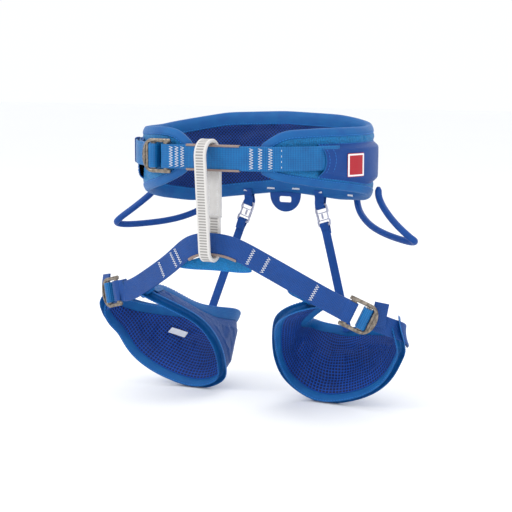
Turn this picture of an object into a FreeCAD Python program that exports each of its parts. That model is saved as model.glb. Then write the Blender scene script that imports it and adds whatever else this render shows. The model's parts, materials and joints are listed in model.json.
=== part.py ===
"""Sit harness for climbing: waist belt, leg loops, belay loop, risers, buckles and gear loops.

Millimetres, +Z up, the wearer faces -Y and the wearer's left is +X. The origin is the middle of
the waist opening at the belt's mid height. One STEP file per sub-part goes to parts/.
"""
import FreeCAD, Part
import math
import os

V = FreeCAD.Vector
UP = V(0, 0, 1)

# ---------------------------------------------------------------- driving dimensions
# Waist ring, measured at the middle of the padding
belt_half_width = 151.0
belt_front_reach = 101.0
belt_back_reach = 108.0
belt_rise = 1.0                  # stretches the belt's height profile

# Padding layers, shared by the belt and the leg loops
foam_thickness = 7.0
lining_thickness = 1.4
shell_thickness = 1.4
binding_thickness = 1.0
binding_reach = 9.0
leg_foam_thickness = 6.0

# Load-bearing webbing
waist_webbing_width = 30.0
leg_webbing_width = 27.0
webbing_thickness = 2.5
webbing_height = 8.0             # height of the waist webbing's middle above the origin
sleeve_top = 25.0
sleeve_bottom = -29.0
sleeve_skin = 1.0
sleeve_inset = 10.5              # least height of the sleeve above the padding's lower edge
sleeve_mouth = 138.0             # along the belt, from the front middle to the sleeve's mouth
protector_wall = 1.0
protector_left = -29.0
protector_right = 42.0
tack_stations = (-34.0, -41.0, -48.0, 56.0, 66.0, 77.0)
label_start, label_end = 171.0, 198.0
label_bottom, label_top = -17.0, 13.0

# Belay loop, a strap round two unequal circles
belay_width = 16.0
belay_thickness = 5.0
belay_top_radius = 20.5
belay_bottom_radius = 16.0
belay_top = V(0, -belt_front_reach - 10.5, 11.0)
belay_bottom = V(0, -belt_front_reach - 5.0, -105.5)

# Buckles
buckle_thickness = 3.6
buckle_length = 40.0
buckle_end_plate = 9.0
buckle_rail = 5.0
buckle_bar_width = 7.0
buckle_bar_travel = 3.0
bar_clearance = 0.5

# Leg loops: the box that one ring fills, and its corner nearest the front middle and the top
leg_width = 168.0
leg_depth = 154.0
leg_drop = 135.0
leg_corner = V(45.0, 35.0 - belt_front_reach, -173.0)

# Gear loops, haul loop and risers
gear_tube_radius = 4.5
gear_cord_radius = 2.6
gear_end_gap = 2.0
haul_width = 46.0
haul_drop = 24.0
haul_thickness = 2.5
riser_spread = 54.0              # along the belt, each side of the back middle
riser_elastic_width = 12.0
riser_elastic_thickness = 2.2
riser_stub_width = 13.0
riser_hook_width = 19.0
riser_hook_length = 30.0
riser_hook_thickness = 4.0

# Half of the waist ring as shares of half width and of front or back reach
BELT_PLAN = [(0.0, -1.0), (0.49, -0.90), (0.83, -0.43), (1.0, 0.22), (0.84, 0.73), (0.31, 0.98), (0.0, 1.0)]

# Belt height: share of the girth from the front middle towards the wearer's left, top, bottom
BELT_PROFILE = [
    (0.080, 21, -9), (0.092, 31, -14), (0.112, 40, -19), (0.170, 42, -27), (0.224, 42, -34),
    (0.272, 42, -41), (0.339, 46, -54), (0.399, 52, -57), (0.500, 55, -50), (0.601, 52, -60),
    (0.661, 44, -66), (0.722, 37, -58), (0.782, 37, -46), (0.855, 40, -38), (0.909, 42, -28),
    (0.940, 40, -18), (0.959, 32, -9), (0.967, 20, -1),
]

# Leg ring from the inner-thigh tip, round the back, to the buckle strap: shares of the ring's box
LEG_FRONT_EDGE = [
    (0.41, 0.00, 0.00), (0.21, 0.06, 0.12), (0.07, 0.27, 0.31), (0.00, 0.43, 0.56), (0.01, 0.53, 0.76),
    (0.08, 0.62, 0.91), (0.26, 0.63, 1.00), (0.48, 0.62, 0.97), (0.68, 0.59, 0.87), (0.84, 0.55, 0.71),
    (0.93, 0.52, 0.53), (0.98, 0.46, 0.42), (1.00, 0.38, 0.30),
]
LEG_BACK_EDGE = [
    (0.44, 0.22, 0.02), (0.30, 0.31, 0.12), (0.17, 0.44, 0.25), (0.10, 0.63, 0.34), (0.07, 0.83, 0.39),
    (0.12, 0.95, 0.45), (0.23, 1.00, 0.48), (0.36, 0.99, 0.49), (0.52, 0.93, 0.45), (0.68, 0.82, 0.41),
    (0.84, 0.67, 0.36), (0.94, 0.51, 0.28), (0.98, 0.37, 0.20),
]

# Middle line of the leg bridge, from the wearer's right buckle to the left one
BRIDGE = [V(x, back - belt_front_reach, z) for x, back, z in (
    (-163, 43, -176), (-135, 32, -170), (-100, 20, -151), (-62, 7, -127), (-30, -2, -105),
    (0, -4.5, -98.5), (30, -3, -102), (62, 4, -117), (100, 17, -139), (135, 31, -160), (163, 43, -176),
)]
LEG_BUCKLE_LINE = {"left": V(0.83, 0.36, -0.43), "right": V(-0.88, 0.40, -0.25)}

# Gear loop route, wearer's left: out of the belt, round the outer corner and back to the belt
GEAR_ROUTE = [V(belt_half_width + out, y, z) for out, y, z in (
    (35, 27, -72), (62, 20, -92), (70, 27, -99), (54, 38, -101), (9, 66, -96), (-21, 84, -86),
)]

SIDES = {"left": 1, "right": -1}
half_foam = foam_thickness / 2
inner_face = -half_foam - lining_thickness
outer_face = half_foam + shell_thickness
webbing_inner = outer_face + binding_thickness + 1.2 + protector_wall
webbing_outer = webbing_inner + webbing_thickness
sleeve_outer = webbing_outer + 0.3 + sleeve_skin
webbing_top = webbing_height + waist_webbing_width / 2
webbing_bottom = webbing_height - waist_webbing_width / 2


# ---------------------------------------------------------------- helpers
def loft(sections):
    """A closed solid through matching outlines, with flat facets between them."""
    return Part.makeLoft([Part.makePolygon(points + points[:1]) for points in sections], True, True)


def spread(first, last, steps):
    return [first + (last - first) * i / steps for i in range(steps + 1)]


def rectangle(low_a, high_a, low_b, high_b):
    return [(low_a, low_b), (high_a, low_b), (high_a, high_b), (low_a, high_b)]


def channel(edge, reach, direction, inner, outer, wall):
    """U section that wraps an edge: (across, along) points, open away from the edge."""
    rim = edge - direction * wall
    lip = edge + direction * reach
    return [(inner - wall, rim), (outer + wall, rim), (outer + wall, lip), (outer, lip),
            (outer, edge), (inner, edge), (inner, lip), (inner - wall, lip)]


def prism(points, origin, axis_a, axis_b, axis_c, low, high):
    """Extrude a 2-D outline, given in axes a and b, from low to high along axis c."""
    wire = Part.makePolygon([origin + axis_a * a + axis_b * b + axis_c * low for a, b in points + points[:1]])
    return Part.Face(wire).extrude(axis_c * (high - low))


def block(frame, low, high):
    """A box in a local frame of (origin, along, across, out)."""
    origin, along, across, out = frame
    outline = rectangle(low[0], high[0], low[1], high[1])
    return prism(outline, origin, along, across, out, low[2], high[2])


def local_frame(origin, along, across_hint):
    """Right-handed frame: along, across (near the hint) and out = along x across."""
    along = V(along).normalize()
    across = (across_hint - along * across_hint.dot(along)).normalize()
    return origin, along, across, along.cross(across)


def local_point(frame, a, b, c):
    origin, along, across, out = frame
    return origin + along * a + across * b + out * c


def rounded_path(points, share=0.45):
    """Straight runs joined by tangent arcs, each as large as its two runs allow."""
    edges, start = [], points[0]
    for before, corner, after in zip(points, points[1:], points[2:]):
        run_in, run_out = corner - before, after - corner
        setback = share * min(run_in.Length, run_out.Length)
        enter = corner - V(run_in).normalize() * setback
        leave = corner + V(run_out).normalize() * setback
        half_turn = run_in.getAngle(run_out) / 2
        radius = setback / math.tan(half_turn)
        inward = (V(run_out).normalize() - V(run_in).normalize()).normalize()
        centre = corner + inward * (radius / math.cos(half_turn))
        middle = centre - inward * radius
        edges.append(Part.LineSegment(start, enter).toShape())
        edges.append(Part.Arc(enter, middle, leave).toShape())
        start = leave
    edges.append(Part.LineSegment(start, points[-1]).toShape())
    return Part.Wire(edges)


def tube(path, radius):
    """Round rod along a path of runs and arcs."""
    first = path.Edges[0]
    direction = first.tangentAt(first.FirstParameter)
    circle = Part.Wire(Part.makeCircle(radius, first.valueAt(first.FirstParameter), direction))
    return path.makePipeShell([circle], True, False)


def save(name, shape):
    shape.exportStep(os.path.join("parts", name + ".step"))
    parts[name] = shape


def mirrored(shape, side):
    return shape if side > 0 else shape.mirror(V(0, 0, 0), V(1, 0, 0))


# ---------------------------------------------------------------- waist ring
def waist_ring():
    def place(x, y):
        return V(x * belt_half_width, y * (belt_front_reach if y < 0 else belt_back_reach), 0)
    left = [place(x, y) for x, y in BELT_PLAN]
    right = [place(-x, y) for x, y in reversed(BELT_PLAN[1:-1])]
    curve = Part.BSplineCurve()
    curve.interpolate(Points=left + right, PeriodicFlag=True)
    return curve


ring = waist_ring()
girth = ring.length()


def facet_stations():
    """Stations where every belt layer turns, so that layers on one another share their facets."""
    shares = [row[0] for row in BELT_PROFILE]
    pad = sorted(shares + [(a + b) / 2 for a, b in zip(shares, shares[1:])])
    front = spread(0, pad[0], 5)[:-1] + spread(pad[-1], 1.0, 2)[1:]
    return [share * girth for share in sorted(pad + front)]


FACETS = facet_stations()


def on_ring(station, offset, height):
    u = ring.parameterAtDistance(min(station, girth), ring.FirstParameter)
    point, tangent = ring.value(u), ring.tangent(u)[0]
    return V(point.x + tangent.y * offset, point.y - tangent.x * offset, height)


def on_belt(station, offset, height):
    """Point on the faceted ring at a distance from the front middle, outside it by offset."""
    station = station % girth
    after = next(i for i, facet in enumerate(FACETS) if facet >= station - 1e-6)
    if after == 0:
        return on_ring(FACETS[0], offset, height)
    low, high = FACETS[after - 1], FACETS[after]
    start, end = on_ring(low, offset, height), on_ring(high, offset, height)
    return start + (end - start) * ((station - low) / (high - low))


def belt_stations(first, last):
    """First and last station with every facet station between them, in order."""
    low, high = min(first, last), max(first, last)
    wrapped = [facet - girth for facet in FACETS[:-1]] + FACETS
    inside = [s for s in wrapped if low + 0.5 < s < high - 0.5]
    ordered = [low] + inside + [high]
    return ordered if first < last else ordered[::-1]


def belt_tangent(station):
    return ring.tangent(ring.parameterAtDistance(station % girth, ring.FirstParameter))[0]


def belt_edges(station):
    """Top and bottom height of the padding at a station."""
    share = station / girth
    for (s0, top0, low0), (s1, top1, low1) in zip(BELT_PROFILE, BELT_PROFILE[1:]):
        if share <= s1:
            break
    blend = min(max((share - s0) / (s1 - s0), 0), 1)
    return (top0 + (top1 - top0) * blend) * belt_rise, (low0 + (low1 - low0) * blend) * belt_rise


def belt_band(stations, section):
    """Loft of an (offset, height) outline that follows the ring."""
    return loft([[on_belt(s, offset, height) for offset, height in section(s)] for s in stations])


def make_belt_padding():
    stations = belt_stations(BELT_PROFILE[0][0] * girth, BELT_PROFILE[-1][0] * girth)

    def layer(inner, outer):
        def section(s):
            top, low = belt_edges(s)
            return rectangle(inner, outer, low, top)
        return belt_band(stations, section)

    def binding(side):
        def section(s):
            top, low = belt_edges(s)
            reach = min(binding_reach, (top - low) / 2 - 0.5)
            edge = top if side > 0 else low
            return channel(edge, reach, -side, inner_face, outer_face, binding_thickness)
        return belt_band(stations, section)

    save("belt_foam", layer(-half_foam, half_foam))
    save("belt_lining", layer(inner_face, -half_foam))
    save("belt_shell", layer(half_foam, outer_face))
    save("belt_binding_top", binding(1))
    save("belt_binding_bottom", binding(-1))


def make_webbing_sleeve():
    inner = sleeve_outer - sleeve_skin

    def section(s):
        low = max(sleeve_bottom, belt_edges(s)[1] + sleeve_inset)
        return [(outer_face, low), (sleeve_outer, low), (sleeve_outer, sleeve_top), (outer_face, sleeve_top),
                (outer_face, sleeve_top - sleeve_skin), (inner, sleeve_top - sleeve_skin),
                (inner, low + sleeve_skin), (outer_face, low + sleeve_skin)]
    save("belt_webbing_sleeve", belt_band(belt_stations(sleeve_mouth, girth - sleeve_mouth), section))


# ---------------------------------------------------------------- buckles
def fold_ring(frame, width, bar_width, bar_thickness, slack):
    """Webbing folded round a bar that lies across the strap, centred on the frame's origin."""
    origin, along, across, out = frame
    inner = rectangle(-bar_width / 2 - slack, bar_width / 2 + slack,
                      -bar_thickness / 2 - slack, bar_thickness / 2 + slack)
    wall = slack + webbing_thickness
    outer = rectangle(-bar_width / 2 - wall, bar_width / 2 + wall,
                      -bar_thickness / 2 - wall, bar_thickness / 2 + wall)
    body = prism(outer, origin, along, out, across, -width / 2, width / 2)
    hole = prism(inner, origin, along, out, across, -width / 2 - 1, width / 2 + 1)
    return body.cut(hole)


def round_bar(frame, width, thickness, length):
    """Flat bar with rounded long edges, lying across the strap and centred on the frame's origin."""
    origin, along, across, out = frame
    radius, start = thickness / 2, origin - across * (length / 2)
    flat = rectangle(radius - width / 2, width / 2 - radius, -radius, radius)
    bar = prism(flat, start, along, out, across, 0, length)
    for sign in (1, -1):
        bar = bar.fuse(Part.makeCylinder(radius, length, start + along * (sign * (width / 2 - radius)), across))
    return bar


def make_buckle(name, frame, webbing_width):
    """Frame with a fixed bar and a raised end plate, the sliding bar, and the strap wrap on it."""
    origin, along, across, out = frame
    opening = webbing_width / 2 + 1.5
    side = opening + buckle_rail
    near = -buckle_bar_width / 2
    far = near + buckle_length
    half = buckle_thickness / 2
    body = block(frame, (near - 3, -side, -half), (far, side, half))
    ends = [e for e in body.Edges if abs((e.Vertexes[1].Point - e.Vertexes[0].Point).normalize().dot(out)) > 0.9]
    outer_ends = [e for e in ends if (e.Vertexes[0].Point - origin).dot(along) > far - 1]
    body = body.makeFillet(min(14.0, side * 0.6), outer_ends)
    window = block(frame, (near - 4, -opening, -half - 1), (far - buckle_end_plate, opening, half + 1))
    near_bar = round_bar(frame, buckle_bar_width, buckle_thickness, 2 * opening)
    body = body.cut(window).fuse(near_bar)
    rib = block(frame, (far - 5, -opening, half - 0.2), (far - 2, opening, half + 1.6))
    body = body.fuse(rib)

    bar_middle = far - buckle_end_plate - webbing_thickness - 1.2 - buckle_bar_width / 2
    pin_radius = 1.1
    slot_half = pin_radius + 0.15
    for sign in (1, -1):
        low, high = sorted((sign * (opening - 1), sign * (opening + 2.6)))
        slot = block(frame, (bar_middle - slot_half - buckle_bar_travel, low, -slot_half),
                     (bar_middle + slot_half, high, slot_half))
        body = body.cut(slot)
    save(name + "_frame", body)

    bar = block(frame, (bar_middle - buckle_bar_width / 2, -opening + bar_clearance, -half),
                (bar_middle + buckle_bar_width / 2, opening - bar_clearance, half))
    pin = Part.makeCylinder(pin_radius, 2 * (opening + 2.2), local_point(frame, bar_middle, -opening - 2.2, 0), across)
    save(name + "_bar", bar.fuse(pin))

    slack = 0.1
    inner = buckle_bar_width / 2 + slack
    outer = inner + webbing_thickness
    depth = -half - 5.0
    wrap = [(-outer, depth), (-inner, depth), (-inner, half + slack), (inner, half + slack), (inner, depth),
            (outer, depth), (outer, half + slack + webbing_thickness), (-outer, half + slack + webbing_thickness)]
    save(name + "_wrap", prism(wrap, local_point(frame, bar_middle, 0, 0), along, out, across,
                               -webbing_width / 2, webbing_width / 2))
    return bar_middle


# ---------------------------------------------------------------- waist webbing and hardware
near_bar_station = -58.0
fold_half = buckle_thickness / 2 + bar_clearance + webbing_thickness
waist_buckle_frame = local_frame(
    on_belt(near_bar_station, outer_face + binding_thickness + 0.5 + fold_half, webbing_height),
    belt_tangent(-38.0) * -1, UP * -1)
adjuster_end_station = -100.0
doubled_start = -30.0
doubled_end = near_bar_station + buckle_bar_width / 2 + 1.0


def doubled_faces(station):
    """Inner and outer offset of the doubled webbing between the tie-in zone and the buckle."""
    grow = max(0.0, (station - doubled_start) / (doubled_end - doubled_start))
    ring_inner = outer_face + binding_thickness + 0.5
    low = webbing_inner + (ring_inner + 0.2 - webbing_inner) * grow
    high = webbing_outer + (ring_inner + 2 * fold_half - 0.2 - webbing_outer) * grow
    return low, high


def make_waist_webbing():
    front = belt_stations(sleeve_mouth + 20, doubled_start)
    doubled = belt_stations(doubled_start, doubled_end)

    def front_section(s):
        return rectangle(webbing_inner, webbing_outer, webbing_bottom, webbing_top)

    def doubled_section(s):
        low, high = doubled_faces(s)
        return rectangle(low, high, webbing_bottom, webbing_top)

    band = belt_band(front, front_section).fuse(belt_band(doubled, doubled_section))
    fold = fold_ring(waist_buckle_frame, waist_webbing_width, buckle_bar_width, buckle_thickness, bar_clearance)
    keep_out = block(waist_buckle_frame,
                     (-buckle_bar_width / 2 - bar_clearance, -20, -buckle_thickness / 2 - bar_clearance),
                     (30, 20, buckle_thickness / 2 + bar_clearance))
    save("waist_webbing", band.cut(keep_out).fuse(fold))

    hidden = belt_stations(sleeve_mouth + 22, girth + adjuster_end_station)

    def hidden_section(s):
        lift = max(0.0, (s - (girth - 140)) / 40.0) * 1.5
        return rectangle(webbing_inner + lift, webbing_outer + lift, webbing_bottom, webbing_top)
    save("waist_adjuster_webbing", belt_band(hidden, hidden_section))


def make_tie_in_protector():
    low, high = webbing_bottom - 1.2, webbing_top + 1.2
    back = webbing_inner - protector_wall - 0.1
    front = webbing_outer + protector_wall + 0.1
    lip = 3.0
    section = [(back, low), (front, low), (front, low + lip), (front - protector_wall, low + lip),
               (front - protector_wall, low + protector_wall), (back + protector_wall, low + protector_wall),
               (back + protector_wall, high - protector_wall), (front - protector_wall, high - protector_wall),
               (front - protector_wall, high - lip), (front, high - lip), (front, high), (back, high)]
    save("waist_tie_in_protector", belt_band(belt_stations(protector_left, protector_right), lambda s: section))


def make_tail_and_keeper():
    tail_low = sleeve_outer + 0.4
    tail_high = tail_low + webbing_thickness
    stations = belt_stations(-215.0, adjuster_end_station - 16)
    section = rectangle(tail_low, tail_high, webbing_bottom, webbing_top)
    save("waist_strap_tail", belt_band(stations, lambda s: section))
    gap, wall = 0.3, 1.2
    low, high = webbing_bottom - gap, webbing_top + gap
    outer = tail_high + gap
    section = [(sleeve_outer, low - wall), (outer + wall, low - wall), (outer + wall, high + wall),
               (sleeve_outer, high + wall), (sleeve_outer, high), (outer, high), (outer, low),
               (sleeve_outer, low)]
    save("waist_tail_keeper", belt_band(belt_stations(-185.0, -170.0), lambda s: section))


def make_waist_tacks():
    raised, clear = 0.6, 0.1
    low, high = webbing_bottom + 2.5, webbing_top - 2.5

    def section(s):
        face = doubled_faces(s)[1] if s < doubled_start else webbing_outer
        return rectangle(face + clear, face + clear + raised, low, high)
    ribs = [belt_band(belt_stations(middle - 2, middle + 2), section) for middle in tack_stations]
    save("waist_bar_tacks", Part.makeCompound(ribs))


def make_label():
    section = rectangle(sleeve_outer + 0.05, sleeve_outer + 0.8, label_bottom, label_top)
    save("label_patch", belt_band(belt_stations(label_start, label_end), lambda s: section))


# ---------------------------------------------------------------- belay loop
def racetrack(top, bottom, top_radius, bottom_radius):
    """Outer tangent outline round two circles in the Y-Z plane."""
    line = bottom - top
    tilt = math.acos((top_radius - bottom_radius) / line.Length)
    heading = math.atan2(line.z, line.y)

    def on_circle(centre, radius, angle):
        return centre + V(0, math.cos(angle) * radius, math.sin(angle) * radius)
    front, back = heading - tilt, heading + tilt
    top_front, top_back = on_circle(top, top_radius, front), on_circle(top, top_radius, back)
    low_front, low_back = on_circle(bottom, bottom_radius, front), on_circle(bottom, bottom_radius, back)
    crown = on_circle(top, top_radius, heading + math.pi)
    base = on_circle(bottom, bottom_radius, heading)
    return Part.Wire([
        Part.Arc(top_front, crown, top_back).toShape(),
        Part.LineSegment(top_back, low_back).toShape(),
        Part.Arc(low_back, base, low_front).toShape(),
        Part.LineSegment(low_front, top_front).toShape(),
    ])


def make_belay_loop():
    across = V(belay_width, 0, 0)
    start = V(-belay_width / 2, 0, 0)
    outer = Part.Face(racetrack(belay_top, belay_bottom, belay_top_radius, belay_bottom_radius))
    inner = Part.Face(racetrack(belay_top, belay_bottom, belay_top_radius - belay_thickness,
                                belay_bottom_radius - belay_thickness))
    strap = outer.cut(inner)
    strap.translate(start)
    loop = strap.extrude(across)
    save("belay_loop_webbing", loop)
    back = belay_bottom.y + belay_bottom_radius
    wall = 0.8
    low, high = belay_top.z - 78.0, belay_top.z - 18.0
    cover = Part.makeBox(belay_width + 2 * wall, belay_thickness + 3 * wall, high - low,
                         V(-belay_width / 2 - wall, back - belay_thickness - 1.6 * wall, low))
    core = outer.copy()
    core.translate(V(-30, 0, 0))
    bore = Part.makeBox(belay_width + 0.02, 60, 400, V(-belay_width / 2 - 0.01, -130, -200))
    solid_loop = core.extrude(V(60, 0, 0)).common(bore).cut(inner_prism())
    save("belay_label_sleeve", cover.cut(solid_loop))


def inner_prism():
    inner = Part.Face(racetrack(belay_top, belay_bottom, belay_top_radius - belay_thickness,
                                belay_bottom_radius - belay_thickness))
    inner.translate(V(-30, 0, 0))
    return inner.extrude(V(60, 0, 0))


# ---------------------------------------------------------------- leg bridge
bridge_line = Part.BSplineCurve()
bridge_line.interpolate(Points=BRIDGE, Parameters=list(range(len(BRIDGE))))
bridge_middle = (len(BRIDGE) - 1) / 2


def on_bridge(t, across, out):
    """Point beside the bridge's middle line: across is up the webbing, out is away from the wearer."""
    tangent = bridge_line.tangent(t)[0]
    upward = (UP - tangent * UP.dot(tangent)).normalize()
    return bridge_line.value(t) + upward * across + tangent.cross(upward) * out


def bridge_band(first, last, steps, section):
    return loft([[on_bridge(t, across, out) for out, across in section(t)] for t in spread(first, last, steps)])


def leg_buckle_frame(name):
    end = BRIDGE[-1] if name == "left" else BRIDGE[0]
    along = V(LEG_BUCKLE_LINE[name]).normalize()
    down = UP * -1 if name == "right" else UP
    return local_frame(end + along * 4.0, along, down)


leg_buckle_frames = {name: leg_buckle_frame(name) for name in SIDES}


def make_bridge():
    half = leg_webbing_width / 2
    last = len(BRIDGE) - 1
    end_gap = 0.12

    def section(t):
        return rectangle(-webbing_thickness / 2, webbing_thickness / 2, -half, half)
    webbing = bridge_band(end_gap, last - end_gap, 40, section)
    for frame in leg_buckle_frames.values():
        keep_out = block(frame, (-buckle_bar_width / 2 - bar_clearance, -25, -buckle_thickness / 2 - bar_clearance),
                         (30, 25, buckle_thickness / 2 + bar_clearance))
        fold = fold_ring(frame, leg_webbing_width, buckle_bar_width, buckle_thickness, bar_clearance)
        tab = block(frame, (-14.0, -half, -webbing_thickness / 2),
                    (-buckle_bar_width / 2 - bar_clearance - 0.2, half, webbing_thickness / 2))
        webbing = webbing.cut(keep_out).fuse(tab).fuse(fold)
    save("leg_bridge_webbing", webbing)

    back = -webbing_thickness / 2 - 0.1
    low = -half - 0.4
    front = webbing_thickness / 2 + 0.1

    def protector(t):
        return [(back - protector_wall, low - protector_wall), (front + protector_wall, low - protector_wall),
                (front + protector_wall, low + 1.2), (front, low + 1.2), (front, low), (back, low),
                (back, half - 1.0), (back - protector_wall, half - 1.0)]
    save("bridge_protector", bridge_band(3.75, 6.35, 14, protector))

    ribs = []
    for t in (2.55, 3.15, 3.38, 6.75, 7.25, 8.75):
        outline = rectangle(webbing_thickness / 2 + 0.05, webbing_thickness / 2 + 0.65, -half + 2.5, half - 2.5)
        ribs.append(bridge_band(t - 0.05, t + 0.05, 1, lambda u, shape=outline: shape))
    save("bridge_bar_tacks", Part.makeCompound(ribs))


def make_gusset():
    """Thin apron below the bridge's apex, behind the belay loop."""
    rows = [(-50, -95.0, -126, -133), (-30, -90.0, -121, -135), (0, -86.6, -114, -135),
            (30, -90.0, -119, -135), (52, -94.5, -125, -132)]
    thickness = 1.2
    save("bridge_gusset", loft([[V(x, y, low), V(x, y + thickness, low), V(x, y + thickness, top), V(x, y, top)]
                                for x, y, top, low in rows]))


# ---------------------------------------------------------------- leg loops
def leg_edge(shares):
    points = [leg_corner + V(x * leg_width, y * leg_depth, -z * leg_drop) for x, y, z in shares]
    curve = Part.BSplineCurve()
    curve.interpolate(Points=points, Parameters=list(range(len(points))))
    return curve


leg_front, leg_back = leg_edge(LEG_FRONT_EDGE), leg_edge(LEG_BACK_EDGE)
leg_last = len(LEG_FRONT_EDGE) - 1
leg_half = leg_foam_thickness / 2


def leg_width_at(t):
    return (leg_back.value(t) - leg_front.value(t)).Length


def on_leg(t, across, out):
    """Point on the ring: across from the front edge, out away from the thigh."""
    near, far = leg_front.value(t), leg_back.value(t)
    width = (far - near).normalize()
    along = (leg_front.tangent(t)[0] + leg_back.tangent(t)[0]).normalize()
    return near + width * across + width.cross(along).normalize() * out


def leg_band(stations, section):
    return loft([[on_leg(t, across, out) for out, across in section(t)] for t in stations])


def make_leg(name, side):
    stations = spread(0, leg_last, 36)
    inner, outer = -leg_half - lining_thickness, leg_half + shell_thickness

    def layer(low, high):
        return leg_band(stations, lambda t: rectangle(low, high, 0, leg_width_at(t)))

    def binding(edge):
        def section(t):
            width = leg_width_at(t)
            reach = min(binding_reach, width / 2 - 0.5)
            if edge == "front":
                return channel(0, reach, 1, inner, outer, binding_thickness)
            return channel(width, reach, -1, inner, outer, binding_thickness)
        return leg_band(stations, section)

    save("leg_foam_" + name, mirrored(layer(-leg_half, leg_half), side))
    save("leg_lining_" + name, mirrored(layer(inner, -leg_half), side))
    save("leg_shell_" + name, mirrored(layer(leg_half, outer), side))
    save("leg_binding_front_" + name, mirrored(binding("front"), side))
    save("leg_binding_back_" + name, mirrored(binding("back"), side))


def leg_strap_ends(name, side):
    """Strap section ends: at the pad's outer end and behind the buckle's sliding bar."""
    flip = V(side, 1, 1)
    low, high = leg_front.value(leg_last), leg_back.value(leg_last)
    pad_end = [V(p.x * flip.x, p.y, p.z) for p in (low, high)]
    return pad_end


strap_drop, strap_gap = 10.5, 5.0     # leg strap's start: below the buckle plate, and on towards the pad


def make_leg_strap(name, side, bar_middle):
    frame = leg_buckle_frames[name]
    origin, along, across, out = frame
    upward = across if across.z > 0 else across * -1
    low, high = leg_strap_ends(name, side)
    middle, reach = (low + high) / 2, (high - low).normalize()
    half = leg_webbing_width / 2 - 3.0
    start = local_point(frame, bar_middle + 4.0, 0, -buckle_thickness / 2 - strap_drop)
    facing = (middle - start).normalize()
    depth = webbing_thickness / 2

    def section(centre, up, forward):
        normal = forward.cross(up).normalize() * depth
        return [centre - up * half - normal, centre - up * half + normal,
                centre + up * half + normal, centre + up * half - normal]
    clear = 4.0
    stop = middle - facing * clear
    begin = start + facing * strap_gap
    rows = [section(begin + (stop - begin) * k, (upward * (1 - k) + reach * k).normalize(), facing)
            for k in (0.0, 0.5, 1.0)]
    save("leg_strap_" + name, loft(rows))

    tail_root = local_point(frame, buckle_length - 1.0, 0, -buckle_thickness / 2 - 4.0)
    tail_way = (V(side * 0.10, 0.25, 1.0)).normalize()
    flat = V(side * 0.9, 0.45, -0.2)
    flat = (flat - tail_way * flat.dot(tail_way)).normalize()
    face = tail_way.cross(flat).normalize() * depth
    wide = 9.0
    tail = [[tail_root + tail_way * k - flat * wide - face, tail_root + tail_way * k - flat * wide + face,
             tail_root + tail_way * k + flat * wide + face, tail_root + tail_way * k + flat * wide - face]
            for k in (2.0, 14.0, 26.0)]
    save("leg_strap_tail_" + name, loft(tail))


def make_leg_tag():
    """Plain tag on the lining of the wearer's right leg loop."""
    inner = -leg_half - lining_thickness

    def section(t):
        middle = leg_width_at(t) * 0.66
        return rectangle(inner - 0.9, inner - 0.2, middle - 6, middle + 6)
    save("leg_tag", mirrored(leg_band(spread(7.6, 8.4, 3), section), -1))


# ---------------------------------------------------------------- gear loops, haul loop, risers
gear_start_share, gear_end_share = 0.283, 0.378


def gear_points():
    """Full route of a gear loop, both ends lying flat on the belt's outer face."""
    offset = outer_face + binding_thickness + gear_tube_radius + gear_end_gap
    first, last = gear_start_share * girth, gear_end_share * girth
    low_first, low_last = belt_edges(first)[1], belt_edges(last)[1]
    top = sleeve_bottom - 4.0
    return ([on_belt(first, offset, top), on_belt(first, offset, low_first - 6)] + GEAR_ROUTE
            + [on_belt(last, offset, low_last - 12), on_belt(last, offset, top)])


def make_gear_loops():
    path = rounded_path(gear_points())
    outer, core = tube(path, gear_tube_radius), tube(path, gear_cord_radius)
    cover = outer.cut(core)
    print("gear tube volume / section x length: %.4f" % (
        outer.Volume / (math.pi * gear_tube_radius ** 2 * path.Length)))
    for name, side in SIDES.items():
        save("gear_loop_tube_" + name, mirrored(cover, side))
        save("gear_loop_cord_" + name, mirrored(core, side))


def haul_pivot():
    lowest = min(belt_edges(girth / 2 + reach)[1] for reach in (-haul_width / 2, haul_width / 2))
    return V(0, belt_back_reach, lowest - binding_thickness - 1.8)


def make_haul_loop():
    pivot = haul_pivot()
    half, foot, slot = haul_width / 2, haul_width * 0.22, haul_width * 0.18
    outline = [(-half, 0), (half, 0), (half * 0.86, -haul_drop * 0.35), (foot, -haul_drop * 0.82),
               (foot * 0.6, -haul_drop), (-foot * 0.6, -haul_drop), (-foot, -haul_drop * 0.82),
               (-half * 0.86, -haul_drop * 0.35)]
    hole = rectangle(-slot, slot, -9.0, -2.5)
    plate = prism(outline, pivot, V(1, 0, 0), UP, V(0, 1, 0), -haul_thickness / 2, haul_thickness / 2)
    cut = prism(hole, pivot, V(1, 0, 0), UP, V(0, 1, 0), -haul_thickness, haul_thickness)
    save("haul_loop", plate.cut(cut))


hook_bar = 3.0
hook_slack = 1.7


def riser_top(side):
    """Middle of the hook's top bar."""
    station = girth / 2 - side * riser_spread
    low = belt_edges(girth / 2 - riser_spread)[1]
    return on_belt(station, 0, low - 14.0)


def riser_foot(side):
    """Lower end of the elastic, just above the leg loop's back edge."""
    edge = leg_back.value(7.0)
    return V(side * edge.x, edge.y - 6.0, edge.z + 7.5)


def riser_frame(side):
    top = riser_top(side)
    return local_frame(top, riser_foot(side) - top, V(side, 0, 0))


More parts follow.
